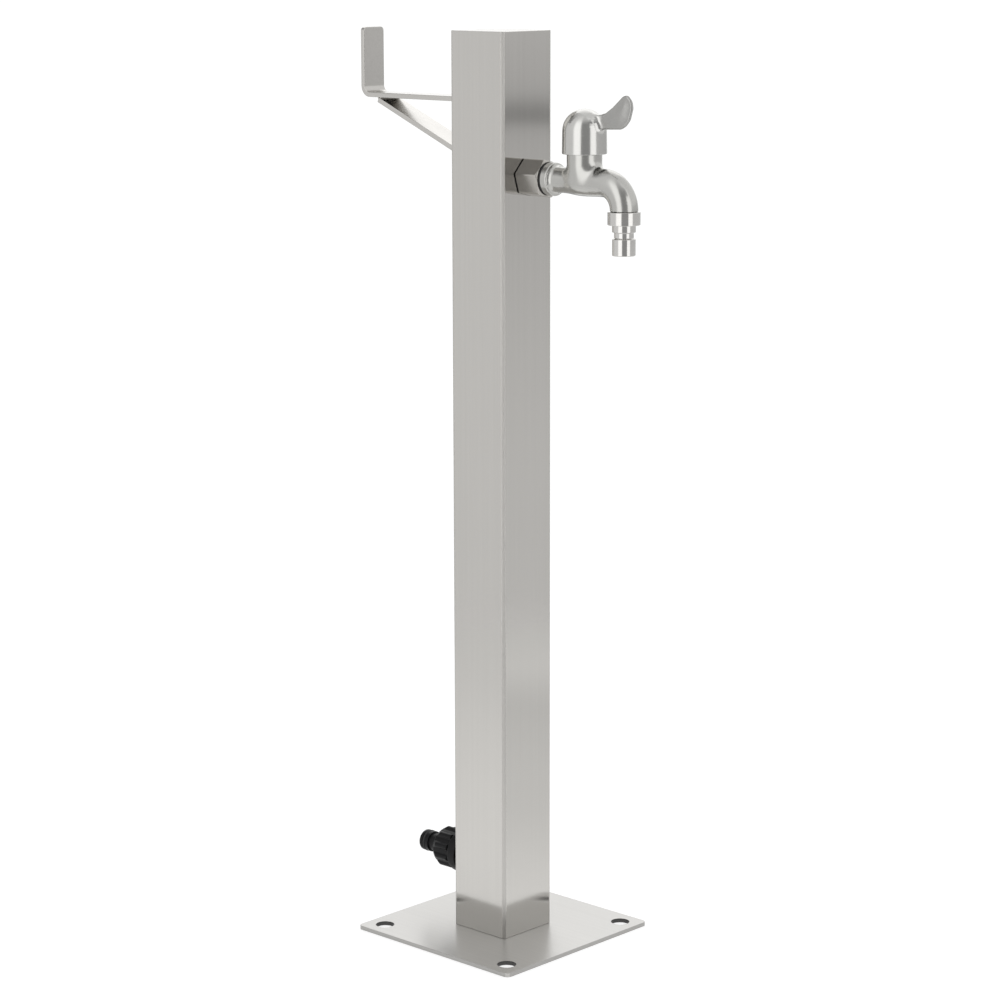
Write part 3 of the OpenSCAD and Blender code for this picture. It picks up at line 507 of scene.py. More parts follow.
POST_STEEL = BrushedSteel(
    "brushed_post_steel", Slot.BRUSHED, (0.520, 0.507, 0.484), (0.605, 0.591, 0.566),
    rough=0.08, spread=0.02, relief=2e-6, anisotropy=0.95, tube_half=0.025,
)
PLATE_STEEL = BrushedSteel(
    "brushed_plate_steel", Slot.BRUSHED, (0.45, 0.442, 0.425), (0.60, 0.592, 0.575), metallic=0.8,
    rough=0.30, spread=0.06, relief=4e-6, anisotropy=0.25, grain=Grain.ALONG_Y, plate_half=0.075,
)
BAR_STEEL = BrushedSteel(
    "brushed_bar_steel", Slot.BRUSHED, STEEL_DARK, STEEL_LIGHT,
    rough=0.24, spread=0.08, relief=4e-6, anisotropy=0.3, grain=Grain.ALONG_Y,
)
CAP_STEEL = BrushedSteel(
    "brushed_cap_steel", Slot.BRUSHED, STEEL_DARK, STEEL_LIGHT,
    rough=0.24, spread=0.08, relief=4e-6, anisotropy=0.3, grain=Grain.ACROSS,
)
WELD_STEEL = CastSteel(
    "weld_steel", Slot.BRUSHED, (0.47, 0.455, 0.43), (0.66, 0.64, 0.61),
    rough=0.3, spread=0.1, relief=2e-5,
)
TAP_STEEL = CastSteel(
    "cast_tap_steel", Slot.CAST, (0.44, 0.437, 0.42), (0.55, 0.545, 0.523),
    rough=0.22, spread=0.05, relief=1e-5,
)
# The handle's leaf, beyond a radius about the bonnet's axis, is darkened with painted shade.
HANDLE_STEEL = CastSteel(
    "cast_handle_steel", Slot.CAST, (0.50, 0.496, 0.481), (0.61, 0.606, 0.587),
    rough=0.17, spread=0.04, relief=6e-6, axis_y=BONNET_Y * MM, dull_and_shade_r=0.0162,
)
SOCKET_STEEL = TurnedMetal(
    "socket_steel", Slot.TURNED, (0.43, 0.414, 0.387), (0.52, 0.502, 0.474),
    rough=0.25, spread=0.04, relief=3e-6, anisotropy=0.3, axis=Turning.ALONG_Y,
)
NUT_STEEL = TurnedMetal(
    "turned_steel_upright", Slot.TURNED, (0.53, 0.52, 0.505), (0.685, 0.675, 0.655),
    rough=0.12, spread=0.05, relief=3e-6, anisotropy=0.4, turn=0.25,
)
SCREW_STEEL = TurnedMetal(
    "turned_steel_lying", Slot.TURNED, (0.30, 0.30, 0.30), (0.5, 0.5, 0.5),
    rough=0.3, spread=0.08, relief=3e-6, axis=Turning.ALONG_Y,
)
BRASS_UPRIGHT = TurnedMetal(
    "brass_upright", Slot.BRASS, (0.55, 0.36, 0.13), (0.80, 0.58, 0.26),
    rough=0.24, spread=0.1, relief=4e-6, anisotropy=0.3, turn=0.25,
)
BRASS_LYING = TurnedMetal(
    "brass_lying", Slot.BRASS, (0.52, 0.35, 0.13), (0.78, 0.57, 0.26),
    rough=0.26, spread=0.1, relief=4e-6, axis=Turning.ALONG_Y,
)
RUBBER = Moulded(
    "black_rubber_moulded", Slot.RUBBER, (0.008, 0.008, 0.009), (0.03, 0.03, 0.03),
    rough=0.62, spread=0.12, relief=1e-5,
)
PLASTIC = Moulded(
    "black_plastic_moulded", Slot.PLASTIC, (0.003, 0.003, 0.0035), (0.010, 0.010, 0.0105),
    rough=0.38, spread=0.1, relief=6e-6, coat=0.04, specular=0.16,
)
CERAMIC = Moulded(
    "white_ceramic", Slot.CERAMIC, (0.78, 0.77, 0.73), (0.88, 0.87, 0.84),
    rough=0.2, spread=0.05, relief=1e-6, coat=0.3,
)
BRAID = WovenWire(
    "woven_steel_wire", Slot.BRAID, (0.2, 0.2, 0.2), (0.72, 0.71, 0.69),
    rough=0.3, spread=0.1, relief=4e-5,
)


# Mesh making, in millimetres

NEARLY_STRAIGHT = 0.06
SIDE_SHARE = 0.48


@dataclass(frozen=True)
class Axis:
    """Line that a turned piece lies on, with the directions of its angles 0 and 90 degrees."""

    origin: tuple[float, float, float]
    along: tuple[float, float, float]
    first: tuple[float, float, float]
    second: tuple[float, float, float]

    def place(self, radius: np.ndarray, angle: np.ndarray, height: np.ndarray) -> np.ndarray:
        """Points at radii, angles and distances along the line."""
        across = np.multiply.outer(radius * np.cos(angle), np.array(self.first))
        across += np.multiply.outer(radius * np.sin(angle), np.array(self.second))
        up = np.multiply.outer(height * np.ones_like(radius * angle), np.array(self.along))
        return across + up + np.array(self.origin)


UPRIGHT = Axis((0.0, 0.0, 0.0), (0.0, 0.0, 1.0), (1.0, 0.0, 0.0), (0.0, 1.0, 0.0))
FRONT = Axis((0.0, -POST_HALF, TAP_Z), (0.0, -1.0, 0.0), (1.0, 0.0, 0.0), (0.0, 0.0, 1.0))
BACK = Axis((0.0, POST_HALF, INLET_Z), (0.0, 1.0, 0.0), (-1.0, 0.0, 0.0), (0.0, 0.0, 1.0))
OUTLET = Axis((0.0, OUTLET_Y, TAP_Z - 18.0), (0.0, 0.0, -1.0), (1.0, 0.0, 0.0), (0.0, -1.0, 0.0))


@dataclass
class Skin:
    """Points and faces of a mesh in the making."""

    points: list[np.ndarray] = field(default_factory=list)
    faces: list[list[int]] = field(default_factory=list)
    count: int = 0

    def add(self, points: np.ndarray, faces: Iterable[Sequence[int]]) -> "Skin":
        """Append points and the faces over them."""
        self.points.append(np.asarray(points, float).reshape(-1, 3))
        self.faces += [[index + self.count for index in face] for face in faces]
        self.count += len(self.points[-1])
        return self

    def grid(self, rows: np.ndarray, wrap_rows: bool, caps: bool = False) -> "Skin":
        """Append a grid of points whose rows are closed loops.

        Args:
            rows: Points as (row, column, 3).
            wrap_rows: Whether the last row joins the first.
            caps: Whether the first and the last row are closed with a face.

        Returns:
            This skin.
        """
        m, n = rows.shape[:2]
        row = np.arange(m if wrap_rows else m - 1)[:, None]
        column = np.arange(n)[None, :]
        after, beside = (row + 1) % m, (column + 1) % n
        quads = np.stack(
            [row * n + column, row * n + beside, after * n + beside, after * n + column], -1
        )
        faces = quads.reshape(-1, 4).tolist()
        if caps:
            faces += [list(range(n))[::-1], [(m - 1) * n + i for i in range(n)]]
        return self.add(rows, faces)


def fillet(corners: Sequence[Sequence[float]], radius: float, steps: int = 4) -> np.ndarray:
    """Closed outline with its corners rounded.

    Args:
        corners: Corners as (a, b) or (a, b, own radius).
        radius: Radius where a corner gives none.
        steps: Steps in each rounding.

    Returns:
        The points of the rounded outline.
    """
    places = [np.array(corner[:2], float) for corner in corners]
    out: list[np.ndarray] = []
    for i, (corner, at) in enumerate(zip(corners, places)):
        own = corner[2] if len(corner) > 2 else radius
        back = places[i - 1] - at
        ahead = places[(i + 1) % len(places)] - at
        if own <= 0:
            out.append(at)
            continue
        long_back, long_ahead = np.linalg.norm(back), np.linalg.norm(ahead)
        back, ahead = back / long_back, ahead / long_ahead
        opening = math.acos(float(np.clip(back @ ahead, -1, 1)))
        if opening > math.pi - NEARLY_STRAIGHT:
            out.append(at)
            continue
        reach = min(own / math.tan(opening / 2), SIDE_SHARE * long_back, SIDE_SHARE * long_ahead)
        round_r = reach * math.tan(opening / 2)
        middle = (back + ahead) / np.linalg.norm(back + ahead)
        centre = at + middle * round_r / math.sin(opening / 2)
        start = at + back * reach - centre
        turn = math.pi - opening
        side = -1.0 if back[0] * ahead[1] - back[1] * ahead[0] > 0 else 1.0
        for k in range(steps + 1):
            a = side * turn * k / steps
            c, s = math.cos(a), math.sin(a)
            out.append(centre + np.array([start[0] * c - start[1] * s, start[0] * s + start[1] * c]))
    return np.array(out)


def ring_outline(inner_r: float, outer_r: float, low: float, high: float, edge: float) -> np.ndarray:
    """Outline of a plain ring or sleeve with rounded edges."""
    return fillet([(inner_r, low), (outer_r, low), (outer_r, high), (inner_r, high)], edge)


def arc(
    centre: tuple[float, float], radii: tuple[float, float], start: float, end: float, steps: int
) -> list[tuple[float, float, float]]:
    """Points of an arc in degrees, marked as not to be rounded."""
    out = []
    for k in range(steps + 1):
        a = math.radians(start + (end - start) * k / steps)
        out.append((centre[0] + radii[0] * math.cos(a), centre[1] + radii[1] * math.sin(a), 0.0))
    return out


def rounded_square(width: float, radius: float, steps: int = 6) -> np.ndarray:
    """Outline of a square with round corners."""
    half = width / 2
    corners = [(-half, -half), (half, -half), (half, half), (-half, half)]
    return fillet(corners, radius, steps)


def circle(radius: float, steps: int, centre: tuple[float, float] = (0.0, 0.0)) -> np.ndarray:
    """Points of a circle."""
    a = np.arange(steps) * math.tau / steps
    return np.stack([centre[0] + radius * np.cos(a), centre[1] + radius * np.sin(a)], -1)


def inset(outline: np.ndarray, by: float) -> np.ndarray:
    """Move the sides of a convex counter-clockwise outline inward."""
    out = []
    n = len(outline)
    for i in range(n):
        before, at, after = outline[i - 1], outline[i], outline[(i + 1) % n]
        d0 = (at - before) / np.linalg.norm(at - before)
        d1 = (after - at) / np.linalg.norm(after - at)
        n0, n1 = np.array([-d0[1], d0[0]]), np.array([-d1[1], d1[0]])
        out.append(at + (n0 + n1) * by / (1 + float(n0 @ n1)))
    return np.array(out)


def lathe(
    axis: Axis,
    profile: np.ndarray,
    columns: int = 96,
    shape: Callable[[np.ndarray, np.ndarray, np.ndarray], np.ndarray] | None = None,
) -> Skin:
    """Closed ring of a profile round an axis.

    Args:
        axis: Line to turn about.
        profile: Closed outline as (radius, distance along).
        columns: Points in a turn.
        shape: Changes the radii, from radius, angle and distance along.

    Returns:
        The skin.
    """
    angle = np.arange(columns) * math.tau / columns
    radius = np.repeat(profile[:, :1], columns, 1)
    height = np.repeat(profile[:, 1:2], columns, 1)
    angle = np.repeat(angle[None, :], len(profile), 0)
    if shape is not None:
        radius = shape(radius, angle, height)
    return Skin().grid(axis.place(radius, angle, height), True)


def soft_min(a: np.ndarray, b: np.ndarray, blend: float) -> np.ndarray:
    """Smaller of two values, with a smooth change from one to the other."""
    h = np.clip(0.5 + 0.5 * (b - a) / blend, 0, 1)
    return b * (1 - h) + a * h - blend * h * (1 - h)


def soft_max(a: np.ndarray, b: np.ndarray, blend: float) -> np.ndarray:
    """Larger of two values, with a smooth change from one to the other."""
    return -soft_min(-a, -b, blend)


def bevel_steps(bevel: float, steps: int = 3) -> list[tuple[float, float]]:
    """Insets and depths of a rounded edge, from the end face to the side."""
    turns = [math.pi / 2 * k / steps for k in range(steps + 1)]
    return [(bevel * (1 - math.sin(t)), bevel * (1 - math.cos(t))) for t in turns]


def filled(skin: Skin, loops: Sequence[np.ndarray]) -> Skin:
    """Fill the flat area between loops, the first outside and the others holes in it."""
    bm = bmesh.new()
    edges = []
    for loop in loops:
        made = [bm.verts.new(point) for point in loop]
        edges += [bm.edges.new((made[i - 1], made[i])) for i in range(len(made))]
    bmesh.ops.triangle_fill(bm, use_beauty=True, use_dissolve=False, edges=edges)
    bm.verts.index_update()
    points = np.array([vertex.co[:] for vertex in bm.verts])
    faces = [[vertex.index for vertex in face.verts] for face in bm.faces]
    bm.free()
    return skin.add(points, faces)


def slab(
    loops: Sequence[Callable[[float], np.ndarray]],
    low: float,
    high: float,
    bevel: float,
    place: Callable[[np.ndarray], np.ndarray] = lambda points: points,
    steps: int = 3,
) -> Skin:
    """Flat piece with rounded edges between two heights.

    Args:
        loops: Outline and holes, each a function of its inset.
        low: Lower height.
        high: Upper height.
        bevel: Radius of the edges.
        place: Turns points of the slab's own frame into the row frame.
        steps: Steps in each rounded edge.

    Returns:
        The skin.
    """
    rounds = bevel_steps(bevel, steps)
    levels = [(off, low + depth) for off, depth in rounds]
    levels += [(off, high - depth) for off, depth in rounds[::-1]]
    skin = Skin()
    ends: list[list[np.ndarray]] = [[], []]
    for loop in loops:
        rows = [np.c_[loop(off), np.full(len(loop(off)), z)] for off, z in levels]
        rows = place(np.array(rows))
        skin.grid(rows, False)
        ends[0].append(rows[0])
        ends[1].append(rows[-1])
    for end in ends:
        filled(skin, end)
    return skin


def thread_skin(
    axis: Axis, inner_r: float, outer_r: float, root_r: float, pitch: float,
    start: float, end: float, columns: int = 72,
) -> Skin:
    """Sleeve with a helical thread on its outside.

    Args:
        axis: Line of the thread.
        inner_r: Bore of the sleeve.
        outer_r: Radius over the crests.
        root_r: Radius at the roots.
        pitch: Distance between crests.
        start: Where the thread starts along the axis.
        end: Where it ends.
        columns: Points in a turn.

    Returns:
        The skin.
    """
    per_pitch = 8
    count = max(int((end - start) / pitch * per_pitch), 4)
    heights = np.linspace(start, end, count + 1)
    angle = np.arange(columns) * math.tau / columns
    angle, height = np.meshgrid(angle, heights)
    phase = (height / pitch - angle / math.tau) % 1.0
    tooth = np.clip(1.25 - np.abs(phase - 0.5) * 3.2, 0.0, 1.0)
    run_out = np.clip(np.minimum(height - start, end - height) / (0.6 * pitch), 0, 1)
    radius = root_r + (outer_r - root_r) * tooth * run_out
    inner = axis.place(np.full_like(radius[:2], inner_r), angle[:2], height[[-1, 0]])
    return Skin().grid(np.concatenate([axis.place(radius, angle, height), inner]), True)


def bead(start: Sequence[float], end: Sequence[float], radius: float, ripple: float) -> Skin:
    """Weld bead along a straight line.

    Args:
        start: First end.
        end: Other end.
        radius: Radius of the bead.
        ripple: Distance between its ripples.

    Returns:
        The skin.
    """
    a, b = np.array(start, float), np.array(end, float)
    length = float(np.linalg.norm(b - a))
    along = (b - a) / length
    side = np.cross(along, [0.31, 0.52, 0.79])
    side /= np.linalg.norm(side)
    other = np.cross(along, side)
    count = int(length / ripple * 6)
    rows = []
    for k in range(count + 1):
        s = length * k / count
        close = min(s, length - s) / radius
        bulge = math.sqrt(max(1 - (1 - min(close, 1.0)) ** 2, 0.02))
        r = radius * bulge * (1 + 0.1 * math.sin(math.tau * s / ripple))
        turn = np.arange(16) * math.tau / 16
        rows.append(
            a + along * s + np.outer(np.cos(turn), side) * r + np.outer(np.sin(turn), other) * r
        )
    return Skin().grid(np.array(rows), False, True)


# Solids given by a distance, for castings


def outline_distance(points: np.ndarray, outline: np.ndarray) -> np.ndarray:
    """Signed distance of flat points from a closed outline, negative inside."""
    nearest = np.full(len(points), np.inf)
    inside = np.zeros(len(points), bool)
    x, y = points[:, 0], points[:, 1]
    for (ax, ay), (bx, by) in zip(outline, np.roll(outline, -1, 0)):
        ex, ey = bx - ax, by - ay
        size = ex * ex + ey * ey
        if size < 1e-12:
            continue
        t = np.clip(((x - ax) * ex + (y - ay) * ey) / size, 0, 1)
        nearest = np.minimum(nearest, (x - ax - t * ex) ** 2 + (y - ay - t * ey) ** 2)
        if ay != by:
            crosses = ((ay > y) != (by > y)) & (x < ex * (y - ay) / ey + ax)
            inside ^= crosses
    return np.where(inside, -1.0, 1.0) * np.sqrt(nearest)


def mirrored(outline: Sequence[Sequence[float]]) -> np.ndarray:
    """Outline of a turned solid's whole section, from its right half."""
    half = np.array([point[:2] for point in outline], float)
    other = half[::-1] * [-1, 1]
    return np.concatenate([half, other])


def rod(points: np.ndarray, start: Sequence[float], end: Sequence[float], radius: float) -> np.ndarray:
    """Distance from a cylinder with flat ends."""
    a, b = np.array(start, float), np.array(end, float)
    length = float(np.linalg.norm(b - a))
    along = (b - a) / length
    t = (points - a) @ along
    across = np.linalg.norm(points - a - t[:, None] * along, axis=1)
    return np.maximum(across - radius, np.maximum(-t, t - length))


def union(*parts: np.ndarray) -> np.ndarray:
    """Distance from several solids joined into one."""
    return np.minimum.reduce(parts)


# Cells along a block's side, and the distance given where none is worked out
BLOCK = 6
FAR = 10.0
Solid = Callable[[np.ndarray], np.ndarray]


def gradient(solid: Solid, points: np.ndarray, step: float = 0.03) -> np.ndarray:
    """Slope of a solid's distance at some points."""
    slopes = []
    for axis in range(3):
        shift = np.zeros(3)
        shift[axis] = step
        slopes.append((solid(points + shift) - solid(points - shift)) / (2 * step))
    return np.stack(slopes, -1)


def grid_samples(solid: Solid, low: np.ndarray, high: np.ndarray, cell: float) -> np.ndarray:
    """Distances at the corners of a grid of cells.

    Only the blocks of cells that the surface may reach are worked out. The rest gets far values of
    the right sign.

    Args:
        solid: Distance of points from the surface, negative inside.
        low: Lowest corner of the space to search.
        high: Highest corner.
        cell: Size of the cells.

    Returns:
        The distances, by place along X, Y and Z.
    """
    blocks = np.ceil((high - low) / (cell * BLOCK)).astype(int)
    shape = tuple(blocks * BLOCK + 1)
    centres = [low[a] + (np.arange(blocks[a]) + 0.5) * cell * BLOCK for a in range(3)]
    middle = np.stack(np.meshgrid(*centres, indexing="ij"), -1).reshape(-1, 3)
    coarse = solid(middle).reshape(blocks)
    near = np.abs(coarse) < cell * BLOCK * 0.5 * math.sqrt(3) + cell * 2
    samples = np.full(shape, FAR)
    samples[:-1, :-1, :-1] = np.kron(np.where(coarse < 0, -FAR, FAR), np.ones((BLOCK,) * 3))
    offsets = np.stack(np.meshgrid(*[np.arange(BLOCK + 1)] * 3, indexing="ij"), -1).reshape(-1, 3)
    index = (np.argwhere(near)[:, None, :] * BLOCK + offsets[None]).reshape(-1, 3)
    flat = np.unique(np.ravel_multi_index(index.T, shape))
    index = np.stack(np.unravel_index(flat, shape), -1)
    samples.reshape(-1)[flat] = solid(low + index * cell)
    return samples


def window(samples: np.ndarray, corner: tuple[int, int, int]) -> np.ndarray:
    """The samples at one corner of every cell."""
    return samples[tuple(slice(c, c + n - 1) for c, n in zip(corner, samples.shape))]


def cell_points(samples: np.ndarray) -> tuple[np.ndarray, np.ndarray]:
    """Point in each cell that the surface crosses, in the middle of its crossings of the cell's edges.

    Args:
        samples: Distances at the corners of the cells.

    Returns:
        The points, in cells, and the number of the point in each cell, -1 where it has none.
    """
    corners = [(i, j, k) for i in (0, 1) for j in (0, 1) for k in (0, 1)]
    inside = samples < 0
    corners_inside = sum(window(inside, corner).astype(np.int8) for corner in corners)
    active = (corners_inside > 0) & (corners_inside < len(corners))
    where = np.argwhere(active)
    number = np.full(active.shape, -1)
    number[active] = np.arange(len(where))
    total = np.zeros((len(where), 3))
    hits = np.zeros(len(where))
    for a in corners:
        for axis in range(3):
            if a[axis]:
                continue
            b = tuple(1 if axis == k else a[k] for k in range(3))
            va, vb = window(samples, a)[active], window(samples, b)[active]
            cut = (va < 0) != (vb < 0)
            t = np.where(cut, va / np.where(cut, va - vb, 1.0), 0.0)
            place = np.array(a, float)[None].repeat(len(where), 0)
            place[:, axis] += t
            total += place * cut[:, None]
            hits += cut
    return where + total / hits[:, None], number


def cell_quads(inside: np.ndarray, number: np.ndarray) -> list[list[int]]:
    """Face across each edge of the grid that the surface crosses, over the points of four cells.

    Args:
        inside: Whether each corner of the grid is inside.
        number: Number of the point in each cell.

    Returns:
        The faces, with their fronts outward.
    """
    faces = []
    for axis in range(3):
        others = [k for k in range(3) if k != axis]
        if axis == 1:
            others.reverse()
        size = [n if k == axis else n - 1 for k, n in enumerate(number.shape)]
        start = [0 if k == axis else 1 for k in range(3)]
        step = [1 if k == axis else 0 for k in range(3)]
        near_side = inside[tuple(slice(a, a + n) for a, n in zip(start, size))]
        far_side = inside[tuple(slice(a + b, a + b + n) for a, b, n in zip(start, step, size))]
        edge = np.argwhere(near_side != far_side)
        leaving = near_side[tuple(edge.T)]
        ring = []
        for da, db in ((-1, -1), (0, -1), (0, 0), (-1, 0)):
            corner = edge + np.array(start)
            corner[:, others[0]] += da
            corner[:, others[1]] += db
            ring.append(number[tuple(corner.T)])
        quad = np.stack(ring, -1)
        quad[~leaving] = quad[~leaving][:, ::-1]
        faces += quad.tolist()
    return faces


def settle(solid: Solid, points: np.ndarray, cell: float) -> np.ndarray:
    """Points moved onto the surface in three steps of up to half a cell."""
    for _ in range(3):
        slope = gradient(solid, points)
        size = np.maximum((slope**2).sum(1), 0.2)
        move = -solid(points)[:, None] * slope / size[:, None]
        points = points + np.clip(move, -cell * 0.5, cell * 0.5)
    return points


def cast(solid: Solid, low: Sequence[float], high: Sequence[float], cell: float) -> tuple[Skin, np.ndarray]:
    """Mesh the surface of a solid that is given by its distance.

    Args:
        solid: Distance of points from the surface, negative inside.
        low: Lowest corner of the space to search.
        high: Highest corner.
        cell: Size of the cells.

    Returns:
        The skin, and the outward normal at each of its points.
    """
    origin = np.array(low, float)
    samples = grid_samples(solid, origin, np.array(high, float), cell)
    in_cells, number = cell_points(samples)
    points = settle(solid, origin + in_cells * cell, cell)
    normals = gradient(solid, points)
    normals /= np.maximum(np.linalg.norm(normals, axis=1)[:, None], 1e-9)
    return Skin().add(points, cell_quads(samples < 0, number)), normals


# Pieces


def placed(name: str, data: bpy.types.ID) -> bpy.types.Object:
    """Object of some data, put in the scene."""
    made = bpy.data.objects.new(name, data)
    bpy.context.scene.collection.objects.link(made)
    return made


@dataclass
class Maker:
    """Turns skins into dressed objects that ride on the frame's bodies."""

    made: int = 0

    def piece(
        self,
        name: str,
        skin: Skin,
        finish: Finish,
        *replaces: str,
        body: Body = Body.POST,
        slot: Slot | None = None,
        normals: np.ndarray | None = None,
    ) -> None:
        """Make one piece.

        Args:
            name: Name of the piece.
            skin: Its points, in millimetres in the row frame, and faces.
            finish: Its finish.
            replaces: CAD nodes that it stands for.
            body: Body that it moves with.
            slot: Material slot, where it isn't the finish's own; it is worked out but not used.
            normals: Outward normals of a casting's points.
        """
        mesh = bpy.data.meshes.new(name)
        points = np.concatenate(skin.points) * MM
        mesh.from_pydata(points.tolist(), [], skin.faces)
        if normals is None:
            self._clean(mesh)
        mesh.polygons.foreach_set("use_smooth", [True] * len(mesh.polygons))
        if normals is not None:
            mesh.normals_split_custom_set_from_vertices(normals.tolist())
        mesh.materials.append(finish.material())
        made = placed(name, mesh)
        if normals is None:
            weighted = made.modifiers.new("face_weighted_normals", "WEIGHTED_NORMAL")
            weighted.mode = "FACE_AREA"
            weighted.keep_sharp = True
        slot = slot or finish.slot
        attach(made, body.value)
        if replaces:
            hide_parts(*replaces)
        self.made += 1
        LOG.info("made %s: %d faces, on %s", name, len(mesh.polygons), body.value)

    @staticmethod
    def _clean(mesh: bpy.types.Mesh) -> None:
        """Join points that coincide, turn the faces outward and mark the sharp edges."""
        bm = bmesh.new()
        bm.from_mesh(mesh)
        bmesh.ops.remove_doubles(bm, verts=bm.verts[:], dist=2e-6)
        bmesh.ops.dissolve_degenerate(bm, edges=bm.edges[:], dist=1e-7)
        bmesh.ops.recalc_face_normals(bm, faces=bm.faces[:])
        for edge in bm.edges:
            edge.smooth = edge.calc_face_angle(0.0) < SHARP_ANGLE
        bm.to_mesh(mesh)
        bm.free()

    def dress(self, finish: Finish, *nodes: str) -> None:
        """Give CAD nodes, whose shape stays, their finish."""
        for node in nodes:
            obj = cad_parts[node]
            for material_slot in obj.material_slots:
                material_slot.material = finish.material()
            if not obj.material_slots:
                obj.data.materials.append(finish.material())
            LOG.info("dressed %s as %s", node, finish.name)


@dataclass(frozen=True)
class Hexagon:
    """Hexagonal piece, with chamfered corners at its far end and, where it is cut, at its near one."""

    across: float
    low: float
    high: float
    depth: float
    turn: float
    low_cut: bool = True
    corner_wear: float = 0.12

    def radii(self, radius: np.ndarray, angle: np.ndarray, height: np.ndarray) -> np.ndarray:
        """Radii of the hexagon where the profile asks for its outside."""
        flat = self.across / 2
        corner = self.across / math.sqrt(3)
        phi = (angle - math.radians(self.turn) + math.pi / 6) % (math.pi / 3) - math.pi / 6
        hexagon = flat / np.cos(phi)
        hexagon = soft_min(hexagon, np.full_like(hexagon, corner - self.corner_wear), 0.15)
        slope = (corner - flat) / self.depth
        cone = flat + (self.high - height) * slope
        if self.low_cut:
            cone = np.minimum(cone, flat + (height - self.low) * slope)
        return np.where(radius > flat * 0.98, soft_min(hexagon, cone, 0.1), radius)

    def profile(self, bore: float, edge: float = 0.25) -> np.ndarray:
        """Closed profile of the piece with a bore, dense where the chamfers lie."""
        flat = self.across / 2
        dense = np.linspace(0, self.depth * 1.25, 12)
        low, high = self.low + dense, self.high - dense[::-1]
        middle = np.linspace(low[-1], high[0], 6)[1:-1]
        outside = [(flat, h) for h in np.concatenate([low, middle, high])]
        inside = [
            (flat - edge, self.high), (bore + edge, self.high), (bore, self.high - edge),
            (bore, self.low + edge), (bore + edge, self.low), (flat - edge, self.low),
        ]
        return np.array(outside + inside)

    def skin(self, axis: Axis, bore: float) -> Skin:
        """The whole piece."""
        return lathe(axis, self.profile(bore), 144, self.radii)


# Sub-assemblies


